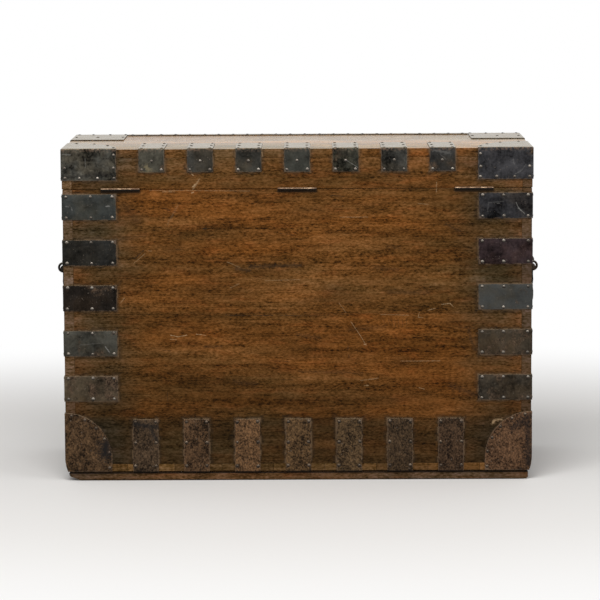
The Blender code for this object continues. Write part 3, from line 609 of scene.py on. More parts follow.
IRON_PALE_MARKS = (
    (101, 655, 123, 641, 1, 0.72), (443, 569, 448, 557, 1.6, 0.52), (448, 557, 460, 546, 2.4, 0.52),
    (387, 567, 385, 549, 1.4, 0.15), (387, 568, 417, 571, 1.4, 0.15), (405, 567, 409, 567, 2.2, 0.2),
    (-387, 564, -380, 565, 2.6, 0.5), (-457, 562, -456, 556, 1.4, 0.4), (-469, 564, -463, 564, 2, 0.3),
    (-474, 670, -458, 669, 2.4, 0.3), (-428, 661, -428, 643, 1.6, 0.24), (441, 626, 455, 634, 2.2, 0.2),
    (437, 656, 439, 644, 2, 0.16), (453, 632, 463, 646, 1.6, 0.16), (277, 675, 309, 669, 6, 0.2),
    (289, 667, 301, 657, 1.6, 0.18), (-392, 277, -384, 266, 2, 0.5), (-445, 281, -396, 285, 1.6, 0.15),
)
IRON_BRASS_MARKS = (
    (-306, 644, -300, 638, 10, 0.42), (-317, 634, -282, 632, 1.5, 0.5),
)
IRON_DARK_MARKS = (
    (-469, 623, -375, 629, 9, 0.5), (-393, 76, -395, 56, 32, 0.95), (-411, 53, -400, 45, 4, 0.6),
    (-332, 117, -287, 111, 14, 0.75), (-303, 109, -289, 84, 12, 0.7), (438, 107, 472, 131, 18, 0.6),
    (468, 120, 471, 32, 20, 0.6), (79, 672, 111, 665, 9, 0.35), (-122, 646, -112, 638, 6, 0.4),
    (-79, 658, -73, 638, 5, 0.4), (-472, 482, -377, 490, 4, 0.3), (391, 575, 464, 577, 3, 0.4),
)

def ragged_marks(place):
    """How much the marks thin and break from place to place."""
    return step(clouds(place, (230, 230, 340), 3.0, 0.65), 0.34, 0.60, 2.6, 0.8)


def sum_of_marks(place, ragged, marks, face_y):
    total = 0.0
    for x, z, end_x, end_z, width, strength in marks:
        feeds = {
            "Position": place, "Start": (x * MM, face_y, z * MM), "End": (end_x * MM, face_y, end_z * MM),
            "Width": width * MM, "Ragged": ragged,
        }
        total = highest(total, use_effect(SCRATCH, feeds)["Mask"] * strength)
    return total


def row_gap(first, last, steps, axis, along, beyond):
    """Distance to a row of equal irons, given its first and its last."""
    low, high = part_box(first)
    feeds = {
        "Along": along, "Beyond": beyond, "First": (low[axis] + high[axis]) / 2, "Last": steps,
        "Pitch": (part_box(last)[0][axis] - low[axis]) / steps, "Half Width": (high[axis] - low[axis]) / 2,
    }
    return use_effect(STRAP_ROW, feeds)["Gap"]


def gap_to_irons(place):
    """Distance along the back or front from the wood to the nearest iron that is nailed to it."""
    x, y, z = parts_of(place)
    out = abs(x)
    under_bracket = highest(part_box("lid_bracket_1")[0].z - z, y)  # the front has no brackets
    foot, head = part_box("base_corner_back_right")[1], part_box("lid_corner_back_right")[0]
    rise = highest(z - (WOOD_LOW.z + BASE_CORNER_FOOT), 0.0)
    return lowest(
        row_gap("base_strap_1", "base_strap_7", 6, X, x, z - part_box("base_strap_1")[1].z),
        row_gap("lid_bracket_1", "lid_bracket_7", 6, X, x, under_bracket),
        row_gap("end_strap_left_5", "end_strap_left_1", 4, Z, z, -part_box("end_strap_left_5")[1].x - out),
        reckon("LENGTH", vector_of(X=foot.x - out, Z=rise)) - BASE_CORNER_RADIUS,
        highest(head.x - out, head.z - z),
    )


def painted_sole_shadow(colour, height):
    """The colour with painted black shadow along the joint between the carcass and its bearers, and along the
    floor.
    """
    # Painted shadow: black under the carcass's edge over the bearers, and a black contact line along the floor.
    above = step(height, SOLE + 0.0040, SOLE + 0.0008)
    joint = above * step(height, SOLE - 0.0040, SOLE - 0.0016, 0.0, 0.94)
    return mix(highest(joint, step(height, 0.0030, 0.0006, 0.0, 0.92)), colour, PAINTED_SHADOW_BLACK)


def facing_up(place, low=0.6, high=0.95):
    """One where the face looks up and zero elsewhere: it lays wax on tops, paints sheen and dust on iron tops,
    and paints shade under steel that faces down.
    """
    return step(parts_of(Value(place.socket.node.outputs["Normal"]))[2], low, high)


def outside_oak(name, reach, turn=None, light=(0.151, 0.0638, 0.0147), dark=(0.055, 0.0236, 0.0038),
                on_face=False, marks=False):
    """Old polished oak, dirty towards the edges of its face, dirty and with painted shadow round the irons, and
    with painted shade towards the bottom.
    """
    made, shader, place = new_finish(name, Specular_IOR_Level=0.05, Coat_Roughness=0.22)
    grain = use_effect(OAK_GRAIN, {
        "Position": plank_place(place, turn), "Light Wood": light, "Dark Wood": dark,
        "Red Wood": (0.133, 0.0450, 0.0093), "Hue Swing": 1.0, "Contrast": 1.0,
    })
    stain = step(clouds(place, (7, 9, 26), 5.0, 0.62), 0.48, 0.68, 0.0, 0.55)
    colour = tint(grain["Color"], (0.64, 0.66, 0.70), stain)
    centre = (0, 0, (WOOD_LOW.z + LID_HIGH.z) / 2)
    feeds = {"Position": place, "Centre": centre, "Reach": reach, "Depth": 0.18, "Raggedness": 0.12}
    colour = tint(colour, (0.61, 0.80, 1.25), use_effect(EDGE_GRIME, feeds)["Mask"])
    across, _, low = parts_of(place)
    # Painted shade: darker towards the bottom, where less light falls.
    colour = tint(colour, (0.72, 0.70, 0.64), step(low, 0.29, 0.13))
    if on_face:
        colour = tint(colour, (1.27, 1.28, 1.52), step(low, 0.60, 0.665))
        colour = tint(colour, (0.62, 0.70, 0.85), step(low, 0.138, 0.118))
        side = step(abs(across), WOOD_HIGH.x - 0.065, WOOD_HIGH.x - 0.022)
        colour = tint(colour, (1.36, 1.20, 1.20), side)
        gap = gap_to_irons(place)
        # Dirt and painted shadow: a dark halo round the irons.
        uneven = clouds(place, 70)
        dirt_and_shadow_halo = step(gap, step(uneven, 0.3, 0.7, 0.002, 0.014), 0.0, 0.0, 0.55)
        colour = mix(dirt_and_shadow_halo, colour, (0.020, 0.014, 0.009))
        rim = step(gap, 0.0034, 0.0010) * step(uneven, 0.44, 0.58, 0.0, 0.42)
        colour = mix(rim, colour, (0.22, 0.140, 0.075))
    if marks:
        ragged = ragged_marks(place)
        colour = mix(sum_of_marks(place, ragged, PALE_MARKS, WOOD_LOW.y), colour, (0.40, 0.27, 0.15))
        dark_marks_and_shadow = sum_of_marks(place, ragged, DARK_MARKS, WOOD_LOW.y)
        # Painted shadow under each hinge's knuckles.
        below = (AXIS_Z - 0.0048) / MM
        for number in HINGES:
            start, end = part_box(f"hinge_{number}_base_leaf")
            under = (start.x / MM + 1, below, end.x / MM - 1, below, 3.4, 0.96)
            dark_marks_and_shadow = highest(dark_marks_and_shadow, sum_of_marks(place, 0.7, [under], WOOD_LOW.y))
        colour = mix(dark_marks_and_shadow, colour, (0.020, 0.013, 0.008))
    feed(shader["Base Color"], painted_sole_shadow(colour, low))
    feed(shader["Roughness"], between(grain["Streak"], 0.62, 0.48))
    feed(shader["Coat Weight"], facing_up(place) * 0.72)
    give_bump(shader, grain["Height"], 0.0004, 0.6)
    return made


def end_grain_oak():
    """Sawn ends of the boards: close rings that run level, dusty, each board a little unlike the next."""
    made, shader, place = new_finish("oak_end_grain_worn", Specular_IOR_Level=0.05, Roughness=0.72)
    grain = use_effect(OAK_GRAIN, {
        "Position": place, "Light Wood": (0.134, 0.071, 0.0260), "Dark Wood": (0.065, 0.035, 0.0125),
        "Red Wood": (0.103, 0.053, 0.0190), "Hue Swing": 0.5, "Contrast": 0.85,
    })
    board = step(read_mark(place, "plank"), 0.0, 1.0, 0.78, 1.18)
    across, _, low = parts_of(place)
    high_up = step(low, WOOD_LOW.z + 0.0155, WOOD_LOW.z + 0.0165)
    pale = step(low, 0.12, 0.22, 0.58, 1.0) * step(across, -0.1, 0.1, 1.0, 0.72)
    dusty = mix(high_up, (1.19, 1.12, 0.95), scaled((1.30, 1.43, 2.00), pale))
    feed(shader["Base Color"], painted_sole_shadow(tint(scaled(grain["Color"], board), dusty), low))
    give_bump(shader, grain["Height"], 0.0004, 0.5)
    return made


def inside_oak():
    """Unpolished oak of the inside."""
    made, shader, place = new_finish("oak_inside", Specular_IOR_Level=0.1, Roughness=0.75)
    grain = use_effect(OAK_GRAIN, {
        "Position": plank_place(place), "Light Wood": (0.27, 0.155, 0.070), "Dark Wood": (0.16, 0.088, 0.038),
        "Red Wood": (0.22, 0.118, 0.055), "Hue Swing": 1.0, "Contrast": 0.6,
    })
    stain = step(clouds(place, 5, 4.0), 0.45, 0.72, 0.0, 0.5)
    feed(shader["Base Color"], mix(stain, grain["Color"], (0.085, 0.052, 0.028)))
    give_bump(shader, grain["Height"], 0.0004, 0.6)
    return made


def hoop_iron():
    """Blackened hoop iron with rust, worn borders, specks and scratches, and a painted sheen with dust where it
    faces up. Each iron carries its own tone.
    """
    made, shader, place = new_finish("hoop_iron", Specular_IOR_Level=0.08, Coat_Roughness=0.22)
    tone, cloud, share = read_mark(place, "tone", "Color"), read_mark(place, "cloud"), read_mark(place, "rust")
    cloudy = clouds(place, (26, 26, 30), 5.0, 0.62)
    speckled = clouds(place, 200)
    wiped = clouds(place, (150, 150, 22))
    depth = slope(cloudy, 0.22, 0.78, -0.90, 0.90) + slope(speckled, 0.20, 0.80, -0.36, 0.36)
    depth = depth + slope(wiped, 0.20, 0.80, -0.20, 0.20)
    colour = scaled(tone, highest(depth * cloud + 1.0, 0.18))
    colour = tint(colour, (1.28, 1.04, 0.76), step(clouds(place, 17), 0.46, 0.68, 0.0, 0.5))
    brown = mix(clamp(share * 4.0 - 3.0), (0.066, 0.043, 0.027), tone)
    rust = use_effect(RUST_BLOOM, {"Position": place, "Share": share, "Tone": brown, "Clouds": cloud})
    colour = mix(rust["Mask"], colour, rust["Color"])
    colour = mix(step(clouds(place, 270), 0.64, 0.74, 0.0, 0.5), colour, (0.19, 0.155, 0.125))
    worn = use_effect(WORN_EDGE, {"Position": place, "Border": read_mark(place, "border"), "Width": 0.0012})
    colour = mix(worn["Mask"] * between(rust["Mask"], 0.55, 0.65), colour, (0.165, 0.110, 0.072))
    ragged = ragged_marks(place)
    for marks, paint in (
        (IRON_DARK_MARKS, (0.0100, 0.0096, 0.0100)), (IRON_BRASS_MARKS, (0.30, 0.24, 0.13)),
        (IRON_PALE_MARKS, (0.28, 0.27, 0.25)),
    ):
        colour = mix(sum_of_marks(place, ragged, marks, WOOD_LOW.y - PROUD), colour, paint)
    up = facing_up(place)
    low = parts_of(place)[2]
    fold = step(low, LID_HIGH.z - 0.0080, LID_HIGH.z - 0.0010) * step(speckled, 0.44, 0.62, 0.0, 0.55)
    colour = mix(fold, colour, (0.150, 0.096, 0.066))
    # Painted sheen, partly dust: faces that look up are paler.
    colour = mix(up * 0.5, colour, (0.36, 0.28, 0.150))
    feed(shader["Base Color"], painted_sole_shadow(colour, low))
    feed(shader["Metallic"], (1.0 - up * 0.8) * between(rust["Mask"], 0.85, 0.2))
    smear = step(clouds(place, 60, 4.0), 0.3, 0.7, 0.36, 0.54)
    feed(shader["Roughness"], between(rust["Mask"], smear, 0.72))
    feed(shader["Coat Weight"], up * 0.57)
    give_bump(shader, cloudy + rust["Pits"] * rust["Mask"], 0.0005, 0.7)
    return made


def nail_iron():
    """Rubbed nail heads, browner on rusty irons, with painted light on their tops and painted shade below them,
    and a black skirt of dirt and painted shadow round them.
    """
    made, shader, place = new_finish("nail_heads", Roughness=0.40, Specular_IOR_Level=0.15)
    bright = mix(read_mark(place, "rust"), (0.32, 0.286, 0.243), (0.165, 0.125, 0.090))
    shade = read_mark(place, "shade")
    colour = mix(shade, (0.007, 0.006, 0.005), bright)
    spots = step(clouds(place, 420, 2.0), 0.50, 0.66, 0.0, 0.5)
    feed(shader["Base Color"], mix(spots, colour, (0.09, 0.058, 0.040)))
    feed(shader["Metallic"], step(shade, 0.0, 0.15, 0.0, 0.9))
    return made


def worn_steel():
    """Rust-brown steel, rubbed bright on its high places, with painted shade: black where it faces down."""
    made, shader, place = new_finish("worn_steel_rubbed", Metallic=0.8)
    rub = step(clouds(place, 90, 4.0), 0.38, 0.66)
    colour = mix(rub, (0.15, 0.085, 0.048), (0.36, 0.245, 0.150))
    # Painted shade: black where the face looks down.
    feed(shader["Base Color"], mix(facing_up(place, 0.02, 0.52), (0.012, 0.009, 0.007), colour))
    feed(shader["Roughness"], between(rub, 0.6, 0.42))
    give_bump(shader, rub, 0.0003, 0.4)
    return made


def old_brass():
    made, shader, place = new_finish("old_brass", Metallic=1.0)
    dull = step(clouds(place, 120, 4.0), 0.38, 0.66)
    feed(shader["Base Color"], mix(dull, (0.45, 0.33, 0.15), (0.20, 0.14, 0.07)))
    feed(shader["Roughness"], between(dull, 0.36, 0.58))
    return made


HALF_X, HALF_Y = WOOD_HIGH.x, -WOOD_LOW.y
FAR = 9.0
BACK_OAK = outside_oak("oak_back", (HALF_X, FAR, FAR), on_face=True, marks=True)
FRONT_OAK = outside_oak("oak_front", (HALF_X, FAR, FAR), on_face=True)
SIDE_OAK = outside_oak("oak_sides", (FAR, HALF_Y, FAR), (0, 0, math.pi / 2))
# The top's paler oak is painted light from above, partly dust.
TOP_OAK = outside_oak("oak_top", (FAR, FAR, FAR), None, (0.345, 0.200, 0.052), (0.215, 0.120, 0.028))
RUNNER_OAK = outside_oak("oak_runner", (FAR, FAR, FAR), None, (0.162, 0.093, 0.046), (0.077, 0.044, 0.020))
END_OAK = end_grain_oak()
INSIDE_OAK = inside_oak()
HOOP_IRON = hoop_iron()
NAIL_IRON = nail_iron()
WORN_STEEL = worn_steel()
OLD_BRASS = old_brass()


# Boards


def outer_edges(form, box):
    """The edges of the form that lie on two outer faces of the whole box."""
    found = []
    for edge in form.edges:
        ends = [vert.co for vert in edge.verts]
        faces = [
            axis for axis in (X, Y, Z)
            for corner in box if all(abs(end[axis] - corner[axis]) < FIT / 3 for end in ends)
        ]
        if len(faces) > 1:
            found.append(edge)
    return found


def sort_board_faces(form, grain, inward, edged):
    """Slot 0 is the outside, 1 the end grain, 2 the inside and 3, where it is edged, the long edges."""
    form.normal_update()
    for face in form.faces:
        if abs(face.normal[grain]) > 0.8:
            face.material_index = 1
        elif face.normal.dot(Vector(inward)) > 0.8:
            face.material_index = 2
        elif edged and abs(face.normal.y) > 0.6:
            face.material_index = 3


def wear_down(form, verts, seed):
    """Rubs the vertices of an outer corner in, here more and there less."""
    for vert in verts:
        rub = noise.noise(vert.co * 23 + Vector((seed, 0, 0))) + 0.5 * noise.noise(vert.co * 90)
        vert.co -= vert.normal * max(0.0, rub) * WORN_DEPTH


def wear_foot(form):
    """Draws in the bottom corners of the carcass, which years of sliding have worn round."""
    for vert in form.verts:
        out = (abs(vert.co.x) - FOOT_WEAR_FROM) / (WOOD_HIGH.x - FOOT_WEAR_FROM)
        down = (FOOT_WEAR_TOP - vert.co.z) / (FOOT_WEAR_TOP - WOOD_LOW.z)
        if out > 0 and 0 < down < 1.1:
            vert.co.x -= math.copysign(FOOT_WEAR * out * down ** 2.2, vert.co.x)


def dress_board(form, name, body, node, grain, inward, outside):
    """Eases the edges of a sawn board, rounds those at the outer corners of the trunk, and finishes it."""
    chance = Random(name)
    form.verts.layers.float.new("plank")
    corners = outer_edges(form, BOXES[body])
    ease_edges(form, [edge for edge in form.edges if edge not in corners and sharp(edge)], EASE, 1)
    corners = outer_edges(form, BOXES[body])
    if corners:
        before = set(form.faces)
        ease_edges(form, corners, CORNER_ROUND, 3)
        rounded = {vert for face in form.faces if face not in before for vert in face.verts}
        form.normal_update()
        wear_down(form, rounded, chance.random())
    edged = name == "lid_top"
    sort_board_faces(form, grain, inward, edged)
    wear_foot(form)
    set_value(form, "plank", form.verts, chance.random())
    finishes = [outside, END_OAK, INSIDE_OAK, BACK_OAK][:4 if edged else 3]
    finish_piece(f"oak_{name}", form, body, [node], finishes)


def plain_board(node, body, grain, inward, outside):
    low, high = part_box(node)
    form = block(low, high)
    if low.z < FOOT_WEAR_TOP:
        saw_across(form, Z, *evenly(WOOD_LOW.z + 0.004, FOOT_WEAR_TOP, 6))
    dress_board(form, node, body, node, grain, inward, outside)


def hinged_board(node, body, way):
    """A board of the back, with beds for the hinge leaves in its edge. way is -1 where that edge faces up."""
    low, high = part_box(node)
    bed_end = low.y + HINGE_LEAF_WIDTH + FIT
    sink = Vector((0, 0, way * (HINGE_LEAF + FIT)))
    form = block(low + sink, high) if way > 0 else block(low, high + sink)
    beds = []
    for number in HINGES:
        leaf_low, leaf_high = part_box(f"hinge_{number}_base_leaf")
        beds.append((leaf_low.x - FIT, leaf_high.x + FIT))
        saw_across(form, X, *beds[-1])
    saw_across(form, Y, bed_end)
    form.normal_update()
    raised = []
    for face in form.faces:
        middle = face.calc_center_median()
        sunk = middle.y < bed_end and any(first < middle.x < last for first, last in beds)
        if face.normal.z * -way > 0.9 and not sunk:
            raised.append(face)
    bmesh.ops.translate(form, vec=-sink, verts=verts_among(grow(form, raised)))
    bmesh.ops.delete(form, geom=[face for face in raised if face.is_valid], context="FACES_ONLY")
    dress_board(form, node, body, node, X, FRONT, BACK_OAK)


def front_board():
    """The front, with its keyhole."""
    low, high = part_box("front")
    form = block(low, high)
    key_z = high.z - KEYHOLE_DROP
    for side in (-1, 1):
        saw_across(form, X, side * KEYHOLE_WIDTH / 2)
        saw_across(form, Z, key_z + side * KEYHOLE_HEIGHT / 2)
    form.normal_update()
    hole = [
        face for face in form.faces
        if abs(face.normal.y) > 0.9 and abs(face.calc_center_median().x) < KEYHOLE_WIDTH / 2
        and abs(face.calc_center_median().z - key_z) < KEYHOLE_HEIGHT / 2
    ]
    rims = [edge for face in hole for edge in face.edges]
    bmesh.ops.delete(form, geom=hole, context="FACES_ONLY")
    bmesh.ops.bridge_loops(form, edges=rims)
    dress_board(form, "front", "carcass", "front", X, BACK, FRONT_OAK)


def bottom_boards():
    """Boards that run from back to front under the walls."""
    low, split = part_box("bottom_left")
    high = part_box("bottom_right")[1]
    joints = (low.x, *BOTTOM_BOARD_JOINTS, high.x)
    for number, (start, end) in enumerate(zip(joints, joints[1:]), 1):
        form = block((start + FIT / 2, low.y, low.z), (end - FIT / 2, high.y, high.z))
        node = "bottom_left" if (start + end) / 2 < split.x else "bottom_right"
        dress_board(form, f"bottom_board_{number}", "carcass", node, Y, UP, SIDE_OAK)


def runner(node):
    """A bearer with its upper edges chamfered, its ends rounded off and their undersides worn away."""
    low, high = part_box(node)
    form = block(low, high)
    ends = [
        edge for edge in form.edges
        if all(vert.co.z < high.z / 2 for vert in edge.verts) and edge.verts[0].co.x == edge.verts[1].co.x
    ]
    ease_edges(form, ends, RUNNER_ROUND, 3)
    saw_across(form, X, *[low.x + (high.x - low.x) * share for share in RUNNER_CUTS])
    for vert in form.verts:
        if vert.co.z < high.z / 2:
            for rise, reach, power, gap in (
                (*RUNNER_LEFT_WEAR, vert.co.x - low.x), (*RUNNER_LEFT_CHIP, vert.co.x - low.x),
                (*RUNNER_RIGHT_WEAR, high.x - vert.co.x),
            ):
                vert.co.z += rise * max(0.0, 1 - gap / reach) ** power
    form.normal_update()
    top = high.z - FIT / 3
    rims = [edge for edge in form.edges if sharp(edge) and all(vert.co.z > top for vert in edge.verts)]
    ease_edges(form, rims, RUNNER_CHAMFER)
    dress_board(form, node, "carcass", node, X, UP, RUNNER_OAK)


def boards():
    plain_board("end_left", "carcass", Y, (1, 0, 0), SIDE_OAK)
    plain_board("end_right", "carcass", Y, (-1, 0, 0), SIDE_OAK)
    plain_board("back_lower", "carcass", X, FRONT, BACK_OAK)
    hinged_board("back_upper", "carcass", -1)
    front_board()
    bottom_boards()
    runner("runner_back")
    runner("runner_front")
    plain_board("lid_rail_left", "lid", Y, (1, 0, 0), SIDE_OAK)
    plain_board("lid_rail_right", "lid", Y, (-1, 0, 0), SIDE_OAK)
    hinged_board("lid_rail_back", "lid", 1)
    plain_board("lid_rail_front", "lid", X, BACK, FRONT_OAK)
    plain_board("lid_top", "lid", X, DOWN, TOP_OAK)


# Irons and nails


def nail_head():
    """One domed head, its rim on the XY plane, turned about Z, with a skirt round it that is painted black as
    dirt and shadow.
    """
    form = bmesh.new()
    verts = [form.verts.new((NAIL_RADIUS * out, 0, NAIL_HEIGHT * up)) for out, up in NAIL_PROFILE]
    edges = [form.edges.new(pair) for pair in zip(verts, verts[1:])]
    bmesh.ops.spin(
        form, geom=verts + edges, cent=(0, 0, 0), axis=(0, 0, 1), angle=math.tau, steps=NAIL_SIDES,
        use_merge=True, use_duplicate=False,
    )
    bmesh.ops.remove_doubles(form, verts=form.verts, dist=NAIL_HEIGHT / 100)
    bmesh.ops.holes_fill(form, edges=[edge for edge in form.edges if edge.is_boundary], sides=0)
    bmesh.ops.recalc_face_normals(form, faces=form.faces)
    return new_mesh("nail_head", form)


NAIL_HEAD = nail_head()


def drive_nails(form, places, chance, rusty=0.0):
    """Nails, each a little off its place, tilted and worn. A place is a point and the way the iron faces."""
    shade = form.verts.layers.float["shade"]
    for point, normal in places:
        facing, centre = Vector(normal), Vector(point)
        there, there_faces = set(form.verts), set(form.faces)
        form.from_mesh(NAIL_HEAD)
        head = [vert for vert in form.verts if vert not in there]
        skirt = {vert for vert in head if vert.co.xy.length > NAIL_RADIUS * NAIL_SKIRT}
        size = chance.uniform(0.90, 1.12)
        tilt = Matrix.Rotation(math.radians(chance.uniform(-7, 7)), 4, "X")
        spin = Matrix.Rotation(chance.uniform(0, math.tau), 4, "Z")
        turn = aimed(facing)
        stray = [chance.uniform(-NAIL_STRAY, NAIL_STRAY) for _ in (X, Y)]
        scale = Matrix.Diagonal((size, size, chance.uniform(0.75, 0.95), 1))
        where = Matrix.Translation(centre + turn @ Vector((*stray, 0))) @ turn @ spin @ tilt @ scale
        bmesh.ops.transform(form, matrix=where, verts=head)
        tone = chance.uniform(0.35, 1.0)
        set_value(form, "border", head, 1.0)
        set_value(form, "rust", head, rusty)
        # Painted light and shade: each head's upper half is lit and its lower half shaded towards black; heads
        # that face up are painted black, a painted dark reflection, and the skirt is painted black as dirt and
        # shadow.
        for vert in head:
            lift = (vert.co - centre).z / NAIL_RADIUS
            dull = facing.z > 0.5 or vert in skirt
            vert[shade] = 0.0 if dull else tone * min(1.0, max(0.0, 0.66 + 0.9 * lift))
        for face in form.faces:
            if face not in there_faces:
                face.material_index = 1


def border_gap(place, rim):
    """Distance from a place to the nearest stretch of the iron's border."""
    least = 1.0
    for start, along, size in rim:
        share = min(1.0, max(0.0, (place - start).dot(along) / size))
        least = min(least, (place - start - along * share).length)
    return least


def new_iron():
    """A form with the layers of iron: distance to its border, nails' brightness with their painted light and
    shade, rust, clouds and tone.
    """
    form = bmesh.new()
    for name in ("border", "shade", "rust", "cloud"):
        form.verts.layers.float.new(name)
    form.verts.layers.float_color.new("tone")
    return form


def bent_iron(low, high, sides, trims):
    """Hoop iron bent round the sides of a block, cut into a fine grid, with its border marked."""
    form = new_iron()
    border = form.verts.layers.float["border"]
    add_block(form, low, high)
    form.normal_update()
    spare = [face for face in form.faces if tuple(round(value) for value in face.normal) not in sides]
    bmesh.ops.delete(form, geom=spare, context="FACES")
    for place, facing in trims:
        saw(form, place, facing, drop=True)
    bends = [edge for edge in form.edges if sharp(edge)]
    if bends:
        ease_edges(form, bends, BEND, 3)
    rim = []
    for edge in form.edges:
        if edge.is_boundary:
            start, end = (vert.co.copy() for vert in edge.verts)
            rim.append((start, end - start, (end - start).length_squared))
    for axis in (X, Y, Z):
        steps = max(1, round((high[axis] - low[axis]) / IRON_GRID))
        saw_across(form, axis, *evenly(low[axis], high[axis], steps + 1)[1:-1])
    form.normal_update()
    for vert in form.verts:
        vert[border] = border_gap(vert.co, rim)
        wave = noise.noise(vert.co * 21) + 0.5 * noise.noise(vert.co * 55)
        vert.co += vert.normal * IRON_WAVE * (min(1.0, wave) - 0.4)
    thicken(form)
    return form


def thicken(form):
    """Gives the sheet its thickness, outward, and eases its outer rim."""
    form.normal_update()
    sheet = form.faces[:]
    grown = grow(form, sheet, use_keep_orig=True)
    outer = {item for item in grown if isinstance(item, bmesh.types.BMFace)}
    for vert in verts_among(grown):
        vert.co += vert.normal * IRON
    bmesh.ops.reverse_faces(form, faces=sheet)
    rim = [edge for face in outer for edge in face.edges if not outer.issuperset(edge.link_faces)]
    ease_edges(form, rim, RIM_ROUND)


def iron_block(node, body, sides):
    """The block that an iron is bent round: the boards' faces on its sides, and its own edges elsewhere."""
    low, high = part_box(node)
    for side in sides:
        for axis in (X, Y, Z):
            if side[axis] < 0:
                low[axis] = BOXES[body][0][axis] - FIT
            elif side[axis] > 0:
                high[axis] = BOXES[body][1][axis] + FIT
    return low, high


def mark_iron(form, look):
    *tone, cloud, rust = look
    for vert in form.verts:
        vert[form.verts.layers.float_color["tone"]] = (*tone, 1)
    set_value(form, "cloud", form.verts, cloud)
    set_value(form, "rust", form.verts, rust)


def dress_iron(node, body, sides, places, trims=(), look=PLAIN_IRON):
    form = bent_iron(*iron_block(node, body, sides), sides, trims)
    look = IRON_LOOKS.get(node, look)
    mark_iron(form, look)
    set_value(form, "border", [vert for vert in form.verts if vert.co.z > LID_HIGH.z], 1.0)
    drive_nails(form, places, Random(node), look[-1])
    wear_foot(form)
    finish_piece(f"iron_{node}", form, body, [node], [HOOP_IRON, NAIL_IRON])


def face_nail(sign, way, out, inset, z):
    """A nail on the back or front, so far in from the outer corner of the irons."""
    return (sign * (out.x - inset), way * out.y, z), (0, way, 0)


def end_nail(sign, way, out, inset, z):
    """A nail on the left or right end, so far in from the outer corner of the irons."""
    return (sign * out.x, way * (out.y - inset), z), (sign, 0, 0)


def end_straps():
    for side, sign in SIDES:
        for number in range(1, 6):
            node = f"end_strap_{side}_{number}"
            low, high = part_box(node)
            places = []
            for row in (low.z + NAIL_INSET, high.z - NAIL_INSET):
                for way in (-1, 1):
                    for inset in END_STRAP_NAIL_INSETS:
                        places.append(face_nail(sign, way, CARCASS_OUT, inset, row))
                    for inset in END_STRAP_NAIL_INSETS[:2]:
                        places.append(end_nail(sign, way, CARCASS_OUT, inset, row))
            dress_iron(node, "carcass", ((sign, 0, 0), BACK, FRONT), places)


def base_straps():
    for number in range(1, 8):
        node = f"base_strap_{number}"
        low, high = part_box(node)
        middle = (low.x + high.x) / 2
        places = [
            ((middle + shift, way * CARCASS_OUT.y, high.z - drop), (0, way, 0))
            for way in (-1, 1) for drop in BASE_STRAP_NAIL_DROPS for shift in apart(BASE_STRAP_NAIL_SPACING)
        ]
        dress_iron(node, "carcass", (DOWN, BACK, FRONT), places, look=RUSTY_IRON)


def base_corners():
    """Irons round the bottom corners, each leg trimmed to a quarter circle."""
    centre_z = WOOD_LOW.z + BASE_CORNER_FOOT
    radius = BASE_CORNER_RADIUS - NAIL_INSET
    insets = [(radius, WOOD_LOW.z + NAIL_INSET + NAIL_RADIUS)]
    insets += [(radius * math.cos(a), centre_z + radius * math.sin(a)) for a in arc_middles(BASE_CORNER_NAILS)]
    for side, sign in SIDES:
        for face, way in FACES:
            trims = []
            for angle in evenly(0.06, math.pi / 2 - 0.04, 14):
                across, up = math.cos(angle), math.sin(angle)
                run, z = BASE_CORNER_RADIUS * across, centre_z + BASE_CORNER_RADIUS * up
                trims.append(((sign * (CARCASS_OUT.x - run), 0, z), Vector((-sign * across, 0, up))))
                trims.append(((0, way * (CARCASS_OUT.y - run), z), Vector((0, -way * across, up))))
            places = [
                nail(sign, way, CARCASS_OUT, inset, z) for inset, z in insets for nail in (face_nail, end_nail)
            ]
            dress_iron(
                f"base_corner_{face}_{side}", "carcass", ((sign, 0, 0), (0, way, 0)), places, trims,
                look=RUSTY_IRON,
            )


def lid_brackets():
    face_y = LID_LOW.y - PROUD
    for number in range(1, 8):
        node = f"lid_bracket_{number}"
        low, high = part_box(node)
        middle = (low.x + high.x) / 2
        places = [((middle, face_y, LID_OUT.z - BRACKET_MIDDLE_NAIL_DROP), BACK)]
        for shift in apart(BRACKET_LOW_NAIL_SPACING):
            places.append(((middle + shift, face_y, low.z + NAIL_INSET), BACK))
        for inset in BRACKET_TOP_NAIL_INSETS:
            for shift in apart(BRACKET_TOP_NAIL_SPACING):
                places.append(((middle + shift, face_y + inset, LID_OUT.z), UP))
        dress_iron(node, "lid", (BACK, UP), places)


def lid_corner_places(sign, way, out, foot):
    """Nails of one lid corner iron: those of its face, its end and its top leg."""
    inner = LID_CORNER_WIDTH - NAIL_INSET
    reach = LID_CORNER_DEPTH - NAIL_INSET
    upper = out.z - LID_CORNER_NAIL_DROPS[1]
    on_face = [(inset, foot) for inset in (*LID_CORNER_FACE_NAIL_INSETS, inner)]
    on_face += [(inner, out.z - drop) for drop in LID_CORNER_NAIL_DROPS]
    on_face.append((LID_CORNER_FACE_NAIL_INSETS[0], upper))
    on_end = [(reach * share, foot) for share in LID_CORNER_SIDE_NAIL_SHARES]
    on_end += [(reach - NAIL_INSET, foot), (reach - NAIL_INSET, upper)]
    if way < 0:
        turns = arc_middles(LID_CORNER_ARC_NAILS)
        on_top = [(inner * math.cos(angle), reach * math.sin(angle)) for angle in turns]
    else:
        on_top = [(inset, reach * 0.57) for inset in (LID_CORNER_FACE_NAIL_INSETS[0], inner / 2, inner)]
        on_top += [(inset, 2 * NAIL_INSET) for inset in (*LID_CORNER_FACE_NAIL_INSETS, inner)]
    places = [face_nail(sign, way, out, inset, z) for inset, z in on_face]
    places += [end_nail(sign, way, out, inset, z) for inset, z in on_end]
    return places + [((sign * (out.x - inset), way * (out.y - depth), out.z), UP) for inset, depth in on_top]


